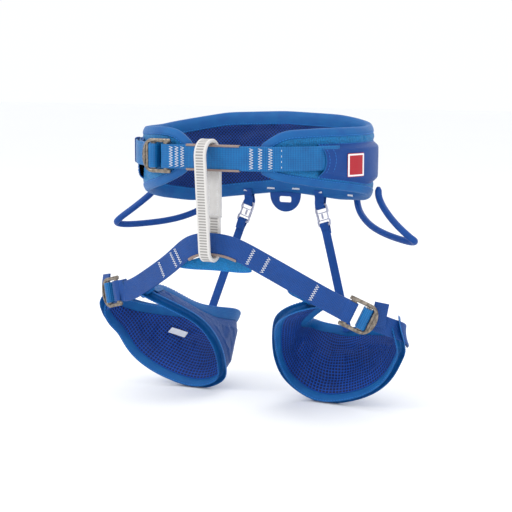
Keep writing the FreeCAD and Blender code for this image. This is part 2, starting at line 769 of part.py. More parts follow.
def make_riser(name, side):
    frame = riser_frame(side)
    origin, along, across, out = frame
    half = riser_hook_thickness / 2
    wide = riser_hook_width / 2
    inner = riser_stub_width / 2 + 1.0
    length = riser_hook_length
    body = block(frame, (-hook_bar / 2, -wide, -half), (length - hook_bar / 2, wide, half))
    upper = block(frame, (hook_bar / 2, -inner, -half - 1), (hook_bar / 2 + 8.0, inner, half + 1))
    lower_start = length - 2 * hook_bar - 3.5
    lower = block(frame, (lower_start, -inner, -half - 1), (length - 1.5 * hook_bar, inner, half + 1))
    waist = [block(frame, (12.0, sign * wide - 1.6, -half - 1), (19.0, sign * wide + 1.6, half + 1))
             for sign in (1, -1)]
    for cutter in [upper, lower] + waist:
        body = body.cut(cutter)
    save("riser_hook_" + name, body)

    elastic_half = riser_elastic_width / 2
    reach = (riser_foot(side) - origin).Length
    start = length - hook_bar / 2 + 0.4
    depth = riser_elastic_thickness / 2
    rows = []
    for a in (start, reach):
        rows.append([local_point(frame, a, -elastic_half, -depth), local_point(frame, a, elastic_half, -depth),
                     local_point(frame, a, elastic_half, depth), local_point(frame, a, -elastic_half, depth)])
    foot = fold_ring(frame_at(frame, length - hook_bar), riser_elastic_width, hook_bar, riser_hook_thickness, 0.2)
    save("riser_elastic_" + name, loft(rows).fuse(foot))

    ring_reach = hook_bar / 2 + hook_slack
    fold = stub_ring(frame, ring_reach)
    edge = on_belt(girth / 2 - side * riser_spread, 0, 0)
    low = min(belt_edges(girth / 2 + shift * riser_spread + reach)[1]
              for shift in (-1, 1) for reach in (-riser_stub_width, 0, riser_stub_width))
    seam = V(edge.x, edge.y, low - binding_thickness - 0.3)
    start = local_point(frame, -ring_reach - 0.4, 0, 0)
    half_stub = riser_stub_width / 2
    rows = []
    for centre, wide_way in ((start, across), (seam, V(side, 0, 0))):
        flat, deep = wide_way * half_stub, V(0, 1, 0) * 1.0
        rows.append([centre - flat - deep, centre + flat - deep, centre + flat + deep, centre - flat + deep])
    save("riser_anchor_" + name, fold.fuse(loft(rows)))


def frame_at(frame, distance):
    return (local_point(frame, distance, 0, 0),) + tuple(frame[1:])


def stub_ring(frame, gap):
    """Short webbing fold that carries a riser hook's top bar with room to swivel."""
    origin, along, across, out = frame
    wall = 1.5
    depth = riser_hook_thickness / 2 + 1.0
    inner = rectangle(-gap, gap, -depth, depth)
    outer = rectangle(-gap - wall, gap + wall, -depth - wall, depth + wall)
    body = prism(outer, origin, along, out, across, -riser_stub_width / 2, riser_stub_width / 2)
    return body.cut(prism(inner, origin, along, out, across, -riser_stub_width, riser_stub_width))


# ---------------------------------------------------------------- build
os.makedirs("parts", exist_ok=True)
parts = {}
make_belt_padding()
make_webbing_sleeve()
make_waist_webbing()
make_tie_in_protector()
make_tail_and_keeper()
make_waist_tacks()
make_label()
make_buckle("waist_buckle", waist_buckle_frame, waist_webbing_width)
make_belay_loop()
make_bridge()
make_gusset()
for side_name, side_sign in SIDES.items():
    slide_middle = make_buckle("leg_buckle_" + side_name, leg_buckle_frames[side_name], leg_webbing_width)
    make_leg(side_name, side_sign)
    make_leg_strap(side_name, side_sign, slide_middle)
    make_riser(side_name, side_sign)
make_leg_tag()
make_gear_loops()
make_haul_loop()
for part_name, part_shape in sorted(parts.items()):
    print(part_name, "ok" if part_shape.isValid() else "INVALID", len(part_shape.Solids),
          "%.0f mm3" % part_shape.Volume)
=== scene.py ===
"""Sit harness for climbing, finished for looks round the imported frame.

Run as a script. Lengths inside are millimetres, turned to metres where a mesh is made.
"""
import json
import math

import bmesh
import bpy
import numpy as np
from bpy.props import FloatProperty, FloatVectorProperty, PointerProperty
from mathutils import Matrix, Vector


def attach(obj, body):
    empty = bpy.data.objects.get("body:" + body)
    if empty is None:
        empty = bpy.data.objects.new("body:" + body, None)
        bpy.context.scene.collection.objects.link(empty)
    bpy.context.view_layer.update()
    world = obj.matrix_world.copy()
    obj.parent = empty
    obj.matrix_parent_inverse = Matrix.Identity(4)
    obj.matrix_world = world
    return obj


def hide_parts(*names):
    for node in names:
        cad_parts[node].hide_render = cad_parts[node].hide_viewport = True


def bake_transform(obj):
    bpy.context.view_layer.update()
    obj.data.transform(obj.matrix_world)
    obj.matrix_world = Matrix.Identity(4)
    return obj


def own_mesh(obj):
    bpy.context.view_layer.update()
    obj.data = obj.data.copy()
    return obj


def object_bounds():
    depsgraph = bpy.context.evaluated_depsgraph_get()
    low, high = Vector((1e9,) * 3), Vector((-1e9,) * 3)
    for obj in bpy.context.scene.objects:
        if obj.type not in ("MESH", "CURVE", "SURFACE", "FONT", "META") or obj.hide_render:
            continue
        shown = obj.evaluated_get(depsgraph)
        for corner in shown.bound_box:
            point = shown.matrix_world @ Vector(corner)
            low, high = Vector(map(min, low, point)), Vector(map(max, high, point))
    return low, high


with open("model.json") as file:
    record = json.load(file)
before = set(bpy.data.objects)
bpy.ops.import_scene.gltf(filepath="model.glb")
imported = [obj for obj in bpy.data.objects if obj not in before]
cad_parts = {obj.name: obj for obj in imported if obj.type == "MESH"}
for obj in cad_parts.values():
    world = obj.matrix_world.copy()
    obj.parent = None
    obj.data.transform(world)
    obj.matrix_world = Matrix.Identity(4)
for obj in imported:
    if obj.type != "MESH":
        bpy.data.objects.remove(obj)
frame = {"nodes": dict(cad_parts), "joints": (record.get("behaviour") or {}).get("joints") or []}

bl_info = {
    "name": "Climbing Sit Harness",
    "version": (1, 0, 0),
    "blender": (4, 5, 0),
    "location": "View3D > Sidebar > Harness",
    "description": "Builds a webbing and foam sit harness piece by piece",
    "category": "Add Mesh",
}

MM = 0.001
UP = np.array([0.0, 0.0, 1.0])
CAD_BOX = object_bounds()
SIDES = {"left": 1, "right": -1}

# Sizes shared with the frame
HALF_WIDTH, FRONT_REACH, BACK_REACH = 151.0, 101.0, 108.0
FOAM, LINING, SHELL, LEG_FOAM = 7.0, 1.4, 1.4, 6.0
INNER_FACE, OUTER_FACE = -FOAM / 2 - LINING, FOAM / 2 + SHELL
WEBBING = 2.5                       # thickness of every load strap
WAIST_WIDTH, LEG_STRAP_WIDTH = 30.0, 27.0
WAIST_HEIGHT = 8.0                  # middle of the waist webbing
WEBBING_INNER = OUTER_FACE + 3.2
WEBBING_MIDDLE = WEBBING_INNER + WEBBING / 2
SLEEVE_OUTER = WEBBING_INNER + WEBBING + 1.3
SLEEVE_TOP, SLEEVE_LOW, SLEEVE_MOUTH = 25.0, -29.0, 138.0
BAR_WIDTH, BAR_THICK, BAR_GAP = 7.0, 3.6, 0.5
FOLD_HALF = BAR_THICK / 2 + BAR_GAP + WEBBING
BUCKLE_LENGTH, END_PLATE, RAIL = 40.0, 9.0, 5.0
SLIDE_MIDDLE = 20.3                 # sliding bar's middle, from the near bar's middle

PLAN = [(0, -1), (0.49, -0.90), (0.83, -0.43), (1, 0.22), (0.84, 0.73), (0.31, 0.98), (0, 1)]
PROFILE = [
    (0.080, 21, -9), (0.092, 31, -14), (0.112, 40, -19), (0.170, 42, -27), (0.224, 42, -34),
    (0.272, 42, -41), (0.339, 46, -54), (0.399, 52, -57), (0.500, 55, -50), (0.601, 52, -60),
    (0.661, 44, -66), (0.722, 37, -58), (0.782, 37, -46), (0.855, 40, -38), (0.909, 42, -28),
    (0.940, 40, -18), (0.959, 32, -9), (0.967, 20, -1),
]
LEG_SIZE, LEG_CORNER = np.array([168.0, 154.0, -135.0]), np.array([45.0, -66.0, -173.0])
LEG_FRONT = [
    (0.41, 0.00, 0.00), (0.21, 0.06, 0.12), (0.07, 0.27, 0.31), (0.00, 0.43, 0.56), (0.01, 0.53, 0.76),
    (0.08, 0.62, 0.91), (0.26, 0.63, 1.00), (0.48, 0.62, 0.97), (0.68, 0.59, 0.87), (0.84, 0.55, 0.71),
    (0.93, 0.52, 0.53), (0.98, 0.46, 0.42), (1.00, 0.38, 0.30),
]
LEG_BACK = [
    (0.44, 0.22, 0.02), (0.30, 0.31, 0.12), (0.17, 0.44, 0.25), (0.10, 0.63, 0.34), (0.07, 0.83, 0.39),
    (0.12, 0.95, 0.45), (0.23, 1.00, 0.48), (0.36, 0.99, 0.49), (0.52, 0.93, 0.45), (0.68, 0.82, 0.41),
    (0.84, 0.67, 0.36), (0.94, 0.51, 0.28), (0.98, 0.37, 0.20),
]
BRIDGE = [
    (-163, -58, -176), (-135, -69, -170), (-100, -81, -151), (-62, -94, -127), (-30, -103, -105),
    (0, -105.5, -98.5), (30, -104, -102), (62, -97, -117), (100, -84, -139), (135, -70, -160),
    (163, -58, -176),
]
LEG_BUCKLE_LINE = {"left": (0.83, 0.36, -0.43), "right": (-0.88, 0.40, -0.25)}
GEAR_ROUTE = [
    (186, 27, -72), (213, 20, -92), (221, 27, -99), (205, 38, -101), (160, 66, -96), (130, 84, -86),
]
BELAY_TOP, BELAY_LOW = (-111.5, 11.0), (-106.0, -105.5)
BELAY_RADII, BELAY_WIDTH, BELAY_THICK = (20.5, 16.0), 16.0, 5.0
RISER_SPREAD = 54.0


# ---------------------------------------------------------------- curves
def unit(v):
    v = np.asarray(v, float)
    return v / np.linalg.norm(v, axis=-1, keepdims=True)


def spline(points, knots=None, ring=False):
    """Smooth curve through points: a function of arrays of knot values to (points, slopes)."""
    p = np.asarray(points, float)
    if ring:
        p = np.vstack([p, p[:1]])
    n = len(p)
    if knots is None:
        knots = np.concatenate([[0], np.cumsum(np.linalg.norm(np.diff(p, axis=0), axis=1))])
    k = np.asarray(knots, float)
    h = np.diff(k)
    size = n - 1 if ring else n
    matrix, right = np.zeros((size, size)), np.zeros((size, p.shape[1]))
    for i in range(size):
        if not ring and i in (0, n - 1):
            few = slice(0, 4) if i == 0 else slice(n - 4, n)
            matrix[i, i] = 1
            for axis in range(p.shape[1]):
                right[i, axis] = np.polyval(np.polyder(np.polyfit(k[few] - k[i], p[few, axis], 3)), 0)
            continue
        before, after = h[i - 1], h[i]
        matrix[i, i - 1] += after
        matrix[i, i] += 2 * (before + after)
        matrix[i, (i + 1) % size] += before
        left_point = p[i - 1] if i else p[n - 2]
        right[i] = 3 * (after * (p[i] - left_point) / before + before * (p[i + 1] - p[i]) / after)
    slope = np.linalg.solve(matrix, right)
    if ring:
        slope = np.vstack([slope, slope[:1]])

    def at(t):
        t = np.atleast_1d(np.asarray(t, float))
        i = np.clip(np.searchsorted(k, t, side="right") - 1, 0, n - 2)
        x, w = ((t - k[i]) / h[i])[:, None], h[i][:, None]
        a, b, c, d = p[i], slope[i] * w, p[i + 1], slope[i + 1] * w
        value = (a * (2 * x**3 - 3 * x**2 + 1) + b * (x**3 - 2 * x**2 + x)
                 + c * (3 * x**2 - 2 * x**3) + d * (x**3 - x**2))
        rate = (a * (6 * x**2 - 6 * x) + b * (3 * x**2 - 4 * x + 1)
                + c * (6 * x - 6 * x**2) + d * (3 * x**2 - 2 * x)) / w
        return value, rate
    at.last = k[-1]
    return at


def lengths(points):
    return np.concatenate([[0], np.cumsum(np.linalg.norm(np.diff(points, axis=0), axis=1))])


def through(points, step=2.0):
    """Smooth line through a few points, divided evenly."""
    curve = spline(points)
    dense = curve(np.linspace(0, curve.last, 40 * len(points)))[0]
    run = lengths(dense)
    even = np.linspace(0, run[-1], max(4, int(run[-1] / step) + 1))
    return np.stack([np.interp(even, run, dense[:, i]) for i in range(dense.shape[1])], axis=1)


def ring_table():
    """Run, places and directions round the waist ring."""
    half = [(x * HALF_WIDTH, y * (FRONT_REACH if y < 0 else BACK_REACH)) for x, y in PLAN]
    curve = spline(half + [(-x, y) for x, y in half[-2:0:-1]], ring=True)
    places, slopes = curve(np.linspace(0, curve.last, 8001))
    return lengths(places), places, unit(slopes)


RING_RUN, RING_PLACES, RING_WAYS = ring_table()
GIRTH = RING_RUN[-1]


def ring_way(station):
    s = np.mod(station, GIRTH)
    return unit(np.stack([np.interp(s, RING_RUN, RING_WAYS[:, i]) for i in (0, 1)], axis=-1))


def on_belt(station, offset, height):
    """Points outside the waist ring by offset, at stations from the front middle to the wearer's left."""
    station, offset, height = np.broadcast_arrays(*(np.asarray(v, float) for v in (station, offset, height)))
    s, way = np.mod(station, GIRTH), ring_way(station)
    x, y = (np.interp(s, RING_RUN, RING_PLACES[:, i]) for i in (0, 1))
    return np.stack([x + way[..., 1] * offset, y - way[..., 0] * offset, height], axis=-1)


def belt_edges(station):
    """Top and bottom of the padding, with the profile's corners eased."""
    share = np.asarray(station, float) / GIRTH
    table = np.array(PROFILE)
    ease = np.linspace(-0.012, 0.012, 9)
    edges = []
    for column in (1, 2):
        values = [np.interp(share + e, table[:, 0], table[:, column]) for e in ease]
        edges.append(np.mean(values, axis=0))
    return edges[0], edges[1]


def leg_curves():
    """Near and far edges of a leg loop."""
    return [spline(LEG_CORNER + np.array(edge) * LEG_SIZE, range(len(edge))) for edge in (LEG_FRONT,
                                                                                          LEG_BACK)]


LEG_NEAR, LEG_FAR = leg_curves()
LEG_LAST = len(LEG_FRONT) - 1


def leg_frame(t):
    """Near edge points, directions to the far edge, widths, outward directions and along directions."""
    near, near_way = LEG_NEAR(t)
    far, far_way = LEG_FAR(t)
    across, along = unit(far - near), unit(near_way + far_way)
    return near, across, np.linalg.norm(far - near, axis=1), unit(np.cross(across, along)), along


def on_leg(t, across, out, side=1):
    t, across, out = np.broadcast_arrays(*(np.asarray(v, float) for v in (t, across, out)))
    near, way, _, face, _ = leg_frame(t.ravel())
    points = near + way * across.ravel()[:, None] + face * out.ravel()[:, None]
    return points.reshape(t.shape + (3,)) * np.array([side, 1, 1])


BRIDGE_LINE = spline(BRIDGE, range(len(BRIDGE)))


def on_bridge(t, across, out):
    """Points beside the bridge's middle line: across is up the webbing, out is away from the wearer."""
    t, across, out = np.broadcast_arrays(*(np.asarray(v, float) for v in (t, across, out)))
    place, way = BRIDGE_LINE(t.ravel())
    way = unit(way)
    up = unit(UP - way * (way @ UP)[:, None])
    points = place + up * across.ravel()[:, None] + np.cross(way, up) * out.ravel()[:, None]
    return points.reshape(t.shape + (3,))


def bar_frame(origin, along, across_hint):
    """Origin, along, across and out of a buckle, the near bar's middle at the origin."""
    along = unit(along)
    across = unit(np.array(across_hint) - along * np.dot(across_hint, along))
    return np.array(origin, float), along, across, np.cross(along, across)


def in_frame(place, a, b, c):
    origin, along, across, out = place
    a, b, c = (np.asarray(v, float)[..., None] for v in (a, b, c))
    return origin + along * a + across * b + out * c


WAIST_BUCKLE = bar_frame(on_belt(-58.0, OUTER_FACE + 1.5 + FOLD_HALF, WAIST_HEIGHT),
                         np.append(-ring_way(-38.0), 0), -UP)
LEG_BUCKLES = {}
for _side, _line in LEG_BUCKLE_LINE.items():
    _end = np.array(BRIDGE[-1] if _side == "left" else BRIDGE[0], float)
    LEG_BUCKLES[_side] = bar_frame(_end + unit(_line) * 4.0, _line, UP if _side == "left" else -UP)


# ---------------------------------------------------------------- meshes
def new_object(name, points, faces, run=None, solid=True):
    """Mesh object from millimetre points. run holds (along, across, face) of each point, in metres."""
    mesh = bpy.data.meshes.new(name)
    mesh.from_pydata((np.asarray(points, float) * MM).tolist(), [], faces)
    if run is not None:
        place = mesh.attributes.new("run", "FLOAT_VECTOR", "POINT")
        place.data.foreach_set("vector", (np.asarray(run, float) * MM).ravel().astype(np.float32))
    if solid:
        shell = bmesh.new()
        shell.from_mesh(mesh)
        bmesh.ops.recalc_face_normals(shell, faces=shell.faces)
        shell.to_mesh(mesh)
        shell.free()
    mesh.polygons.foreach_set("use_smooth", [True] * len(mesh.polygons))
    made = bpy.data.objects.new(name, mesh)
    bpy.context.scene.collection.objects.link(made)
    return made


def grid_faces(rows, columns, loop_rows=False, loop_columns=False, start=0):
    faces = []
    for i in range(rows if loop_rows else rows - 1):
        for j in range(columns if loop_columns else columns - 1):
            a, b = i * columns, (i + 1) % rows * columns
            k = (j + 1) % columns
            faces.append((start + a + j, start + b + j, start + b + k, start + a + k))
    return faces


def swept(name, rows, run, loop=False):
    """Closed skin round rows of section points, capped at both ends unless it loops."""
    count, around = rows.shape[:2]
    faces = grid_faces(count, around, loop_rows=loop, loop_columns=True)
    if not loop:
        faces += [tuple(range(around)), tuple(range((count - 1) * around, count * around))]
    return new_object(name, rows.reshape(-1, 3), faces, run.reshape(-1, 3))


def strap_section(width, thickness, cord=0.0):
    """Outline of woven webbing: flat faces and rounded selvedges, with edge cords where asked."""
    share = np.array([-1, -0.975, -0.92, -0.8, -0.5, -0.2, 0.2, 0.5, 0.8, 0.92, 0.975, 1])
    deep = np.array([0.3, 0.78, 1, 1, 1, 1, 1, 1, 1, 1, 0.78, 0.3]) * thickness / 2
    deep += cord * np.exp(-((np.abs(share) - 0.86) / 0.08) ** 2)
    half = width / 2
    return np.concatenate([np.stack([share * half, deep], 1), np.stack([share * half, -deep], 1)[::-1]])


def strap(name, path, wide, width, thickness=WEBBING, loop=False, cord=0.0):
    """Webbing along a path: wide is its width direction, and its face looks along path x wide."""
    path = np.asarray(path, float)
    ways = (np.roll(path, -1, 0) - np.roll(path, 1, 0)) if loop else np.gradient(path, axis=0)
    ways = unit(ways)
    wide = np.broadcast_to(np.asarray(wide, float), path.shape)
    wide = unit(wide - ways * np.sum(wide * ways, axis=1)[:, None])
    face = np.cross(ways, wide)
    grow = np.broadcast_to(np.asarray(thickness, float), len(path))
    section = strap_section(width, 1.0)
    section_cord = strap_section(width, 1.0, cord)[:, 1] - section[:, 1]
    deep = section[None, :, 1] * grow[:, None] + section_cord[None, :]
    rows = path[:, None] + wide[:, None] * section[None, :, :1] + face[:, None] * deep[..., None]
    run = np.zeros(rows.shape)
    run[..., 0] = lengths(path)[:, None]
    run[..., 1] = section[None, :, 0]
    run[..., 2] = deep
    return swept(name, rows, run, loop)


def tube(name, path, radius, sides=16, loop=False):
    """Round tube along a path, with a radius for all or for each point."""
    path = np.asarray(path, float)
    ways = unit((np.roll(path, -1, 0) - np.roll(path, 1, 0)) if loop else np.gradient(path, axis=0))
    side = unit(np.cross(ways[0], UP if abs(ways[0][2]) < 0.9 else np.array([1.0, 0, 0])))
    sides_out, turned = [], side
    for way in ways:
        turned = unit(turned - way * np.dot(turned, way))
        sides_out.append(turned)
    first = np.array(sides_out)
    second = np.cross(ways, first)
    angle = np.linspace(0, 2 * math.pi, sides, endpoint=False)
    reach = np.broadcast_to(np.asarray(radius, float), len(path))[:, None, None]
    rows = path[:, None] + reach * (first[:, None] * np.cos(angle)[None, :, None]
                                    + second[:, None] * np.sin(angle)[None, :, None])
    run = np.zeros(rows.shape)
    run[..., 0] = lengths(path)[:, None]
    run[..., 1] = (reach[..., 0] * angle[None, :])
    return swept(name, rows, run, loop)


def threads(name, segments, radius):
    """Sewn stitches: one rounded bead of thread along each pair of points."""
    segments = np.asarray(segments, float)
    start, end = segments[:, 0], segments[:, 1]
    way = unit(end - start)
    helper = np.where(np.abs(way[:, 2:]) > 0.8, np.array([[1.0, 0, 0]]), UP[None])
    first = unit(np.cross(way, helper))
    second = np.cross(way, first)
    angle = np.linspace(0, 2 * math.pi, 6, endpoint=False)
    points, faces = [], []
    shares, swells = (-0.04, 0.15, 0.5, 0.85, 1.04), (0.4, 0.85, 1.0, 0.85, 0.4)
    for i in range(len(segments)):
        base = len(points) * 6
        for share, swell in zip(shares, swells):
            centre = start[i] + (end[i] - start[i]) * share
            circle = np.cos(angle)[:, None] * first[i] + np.sin(angle)[:, None] * second[i]
            points.append(centre + radius * swell * circle)
        faces += grid_faces(len(shares), 6, loop_columns=True, start=base)
        faces += [tuple(range(base, base + 6)), tuple(range(base + 24, base + 30))]
    return new_object(name, np.concatenate(points), faces)


def stitch_row(line, pitch=4.2, share=0.62):
    """Running stitches along a dense line, as start and end pairs."""
    run = lengths(line)
    count = max(1, int(run[-1] / pitch))
    starts = (np.arange(count) + (1 - share) / 2) * run[-1] / count
    at = [np.stack([np.interp(v, run, line[:, i]) for i in range(3)], 1)
          for v in (starts, starts + share * run[-1] / count)]
    return np.stack(at, axis=1)


def bar_tack(surface, middle, length, depth, teeth):
    """Dense zigzag on a surface(along, across): thread runs to and fro over depth while it climbs length."""
    step = np.arange(2 * teeth + 1)
    across = middle[1] - length / 2 + length * step / (2 * teeth)
    along = middle[0] + depth / 2 * np.where(step % 2 == 0, -1, 1)
    points = surface(along, across)
    return np.stack([points[:-1], points[1:]], axis=1)


def rounded(corners, radius, steps=6):
    """Closed outline with each corner turned by an arc; radius is one value or one for each corner."""
    corners = np.asarray(corners, float)
    radii = np.broadcast_to(np.asarray(radius, float), len(corners))
    outline = []
    for i, (corner, reach) in enumerate(zip(corners, radii)):
        before, after = unit(corners[i - 1] - corner), unit(corners[(i + 1) % len(corners)] - corner)
        half = math.acos(float(np.clip(before @ after, -1, 1))) / 2
        if reach <= 0:
            outline.append(corner)
            continue
        cut = reach / math.tan(half)
        centre = corner + unit(before + after) * (reach / math.sin(half))
        start, end = corner + before * cut - centre, corner + after * cut - centre
        for share in np.linspace(0, 1, steps):
            blend = start * (1 - share) + end * share
            outline.append(centre + unit(blend) * reach)
    return np.array(outline)


def plate(name, outlines, thickness, edge, place):
    """Flat part with rolled edges, cut from outlines in a local frame; inner outlines are holes."""
    curve = bpy.data.curves.new(name, "CURVE")
    curve.dimensions, curve.fill_mode = "2D", "BOTH"
    curve.extrude, curve.bevel_depth, curve.bevel_resolution = (thickness / 2 - edge) * MM, edge * MM, 3
    curve.offset = -edge * MM
    for outline in outlines:
        line = curve.splines.new("POLY")
        line.points.add(len(outline) - 1)
        for point, (a, b) in zip(line.points, outline):
            point.co = (a * MM, b * MM, 0, 1)
        line.use_cyclic_u = True
    source = bpy.data.objects.new(name + "_outline", curve)
    bpy.context.scene.collection.objects.link(source)
    bpy.context.view_layer.update()
    mesh = bpy.data.meshes.new_from_object(source.evaluated_get(bpy.context.evaluated_depsgraph_get()))
    bpy.data.objects.remove(source)
    origin, along, across, out = place
    turn = Matrix(np.column_stack([along, across, out]).tolist()).to_4x4()
    mesh.transform(Matrix.Translation(origin * MM) @ turn)
    shell = bmesh.new()
    shell.from_mesh(mesh)
    bmesh.ops.remove_doubles(shell, verts=shell.verts, dist=1e-6)
    bmesh.ops.recalc_face_normals(shell, faces=shell.faces)
    shell.to_mesh(mesh)
    shell.free()
    mesh.polygons.foreach_set("use_smooth", [True] * len(mesh.polygons))
    mesh.set_sharp_from_angle(angle=math.radians(50))
    made = bpy.data.objects.new(name, mesh)
    bpy.context.scene.collection.objects.link(made)
    return made


def joined(name, pieces):
    """One object from several meshes."""
    shell = bmesh.new()
    for piece in pieces:
        shell.from_mesh(piece.data)
    mesh = bpy.data.meshes.new(name)
    shell.to_mesh(mesh)
    shell.free()
    mesh.set_sharp_from_angle(angle=math.radians(50))
    for piece in pieces:
        bpy.data.objects.remove(piece)
    made = bpy.data.objects.new(name, mesh)
    bpy.context.scene.collection.objects.link(made)
    return made


def smoothed(piece, levels=1):
    """Applies a subdivision surface."""
    modifier = piece.modifiers.new("Smooth", "SUBSURF")
    modifier.levels = modifier.render_levels = levels
    bpy.context.view_layer.update()
    mesh = bpy.data.meshes.new_from_object(piece.evaluated_get(bpy.context.evaluated_depsgraph_get()))
    piece.modifiers.clear()
    piece.data = mesh
    mesh.polygons.foreach_set("use_smooth", [True] * len(mesh.polygons))
    return piece


def layer(name, face, back, run, levels=1):
    """Closed fabric layer between two matching grids of points."""
    rows, columns = face.shape[:2]
    count = rows * columns
    faces = grid_faces(rows, columns) + [f[::-1] for f in grid_faces(rows, columns, start=count)]
    rim = ([j for j in range(columns)] + [i * columns + columns - 1 for i in range(1, rows)]
           + [(rows - 1) * columns + j for j in range(columns - 2, -1,
                                                      -1)] + [i * columns for i in range(rows - 2, 0, -1)])
    for a, b in zip(rim, rim[1:] + rim[:1]):
        faces.append((a, b, b + count, a + count))
    points = np.concatenate([face.reshape(-1, 3), back.reshape(-1, 3)])
    made = new_object(name, points, faces, np.concatenate([run.reshape(-1, 3)] * 2))
    return smoothed(made, levels) if levels else made


def puffed(name, face, back, sewn, cap):
    """Blows up the closed pad between two grids with Cloth, held where it is sewn, each move at most cap."""
    rows, columns = face.shape[:2]
    pad = layer(name + "_sim", face, back, np.zeros(face.shape), levels=0)
    held = pad.vertex_groups.new(name="sewn")
    for index, weight in enumerate(sewn.ravel()):
        held.add([index], float(weight), "REPLACE")
    cloth = pad.modifiers.new("Cloth", "CLOTH")
    settings = cloth.settings
    settings.quality, settings.mass = 5, 0.15
    settings.tension_stiffness = settings.compression_stiffness = 12
    settings.shear_stiffness, settings.bending_stiffness = 6, 0.2
    settings.use_pressure, settings.uniform_pressure_force = True, 4
    settings.shrink_min = -0.035
    settings.vertex_group_mass = "sewn"
    settings.effector_weights.gravity = 0
    scene = bpy.context.scene
    for step in range(1, 21):
        scene.frame_set(step)
    shaped = pad.evaluated_get(bpy.context.evaluated_depsgraph_get())
    moved = np.array([v.co for v in shaped.data.vertices]) / MM
    scene.frame_set(1)
    start = np.concatenate([face.reshape(-1, 3), back.reshape(-1, 3)])
    bpy.data.objects.remove(pad)
    shift = np.nan_to_num(moved - start)
    reach = np.linalg.norm(shift, axis=1, keepdims=True)
    shift *= np.minimum(1, cap / np.maximum(reach, 1e-6))
    shift *= (1 - sewn.ravel())[:, None] ** 0.5
    shaped_points = (start + shift).reshape(2, rows, columns, 3)
    return shaped_points[0], shaped_points[1]


# ---------------------------------------------------------------- materials
def linear(code, alpha=1.0):
    """sRGB hex colour as linear red, green, blue and alpha."""
    parts = [int(code[i:i + 2], 16) / 255 for i in (1, 3, 5)]
    return tuple(p / 12.92 if p <= 0.04045 else ((p + 0.055) / 1.055) ** 2.4 for p in parts) + (alpha,)


def put(tree, kind, inputs=None, **settings):
    """Adds a node with its settings; inputs maps a socket to a value or to another node's output."""
    node = tree.nodes.new(kind)
    for key, value in settings.items():
        setattr(node, key, value)
    for key, value in (inputs or {}).items():
        if isinstance(value, bpy.types.NodeSocket):
            tree.links.new(value, node.inputs[key])
        else:
            node.inputs[key].default_value = value
    return node


def calc(tree, operation, *values):
    """One math node's result."""
    return put(tree, "ShaderNodeMath", dict(enumerate(values)), operation=operation).outputs[0]


def start_material(name, roughness, metallic=0.0, **sockets):
    """Empty material with one shader, whose constants are set on its own sockets."""
    material = bpy.data.materials.new(name)
    material.use_nodes = True
    tree = material.node_tree
    shader = tree.nodes["Principled BSDF"]
    shader.inputs["Roughness"].default_value = roughness
    shader.inputs["Metallic"].default_value = metallic
    if metallic == 0:
        shader.inputs["Specular IOR Level"].default_value = 0.3
    for key, value in sockets.items():
        shader.inputs[key.replace("_", " ")].default_value = value
    return material, tree, shader


def run_place(tree):
    """The point's (along, across, face) on its strap or pad, in metres."""
    return put(tree, "ShaderNodeAttribute", attribute_name="run", attribute_type="GEOMETRY").outputs["Vector"]


def wave(tree, value, pitch, phase=0.0):
    """0 to 1 ripple of a coordinate in metres, one swell for each pitch in millimetres."""
    turn = put(tree, "ShaderNodeMath", {0: value, 1: 2 * math.pi / (pitch * MM), 2: phase},
               operation="MULTIPLY_ADD")
    sine = put(tree, "ShaderNodeMath", {0: turn.outputs[0]}, operation="SINE")
    return calc(tree, "MULTIPLY_ADD", sine.outputs[0], 0.5, 0.5)


def colour_mix(tree, share, first, second):
    node = tree.nodes.new("ShaderNodeMix")
    node.data_type = "RGBA"
    for index, value in ((0, share), (6, first), (7, second)):
        if isinstance(value, bpy.types.NodeSocket):
            tree.links.new(value, node.inputs[index])
        else:
            node.inputs[index].default_value = value
    return node.outputs[2]


def bumped(tree, shader, height, distance, strength=1.0):
    """Height in shares of distance (millimetres) turned into the shader's normal."""
    bump = put(tree, "ShaderNodeBump", {"Height": height, "Distance": distance * MM, "Strength": strength})
    tree.links.new(bump.outputs["Normal"], shader.inputs["Normal"])


def fade_noise(tree, size, detail=3.0):
    """Soft blotches of about size millimetres, from the piece's own place."""
    place = put(tree, "ShaderNodeTexCoord").outputs["Object"]
    return put(tree, "ShaderNodeTexNoise", {"Vector": place, "Scale": 1 / (size * MM),
                                            "Detail": detail}).outputs["Fac"]


def woven_strap(name, low, high, rib_pitch, warp_pitch, roughness=0.42, sheen="#5cc8ff"):
    """Woven polyamide webbing, heat-set: weft ribs across, warp ends along, and a satin glint; its colour is
    painted lighter on the rib tops and darker between them (painted highlight and painted shade), mixed with
    random tone.
    """
    material, tree, shader = start_material(name, roughness, Sheen_Weight=0.07, Sheen_Roughness=0.35,
                                            Sheen_Tint=linear(sheen), IOR=1.53)
    split = put(tree, "ShaderNodeSeparateXYZ", {0: run_place(tree)})
    rib = wave(tree, split.outputs["X"], rib_pitch)
    warp = wave(tree, split.outputs["Y"], warp_pitch)
    weave_height_and_painted_light = calc(tree, "MULTIPLY_ADD", rib, 0.75, calc(tree, "MULTIPLY", warp, 0.25))
    # Colour mix: rib tops lighter as a painted highlight, the gaps between ribs darker as a painted shade,
    # plus random tone.
    tone = calc(tree, "MULTIPLY_ADD", weave_height_and_painted_light, 0.55, calc(tree, "MULTIPLY", fade_noise(tree, 14), 0.5))
    tree.links.new(colour_mix(tree, tone, low, high), shader.inputs["Base Color"])
    bumped(tree, shader, weave_height_and_painted_light, 0.35)
    return material


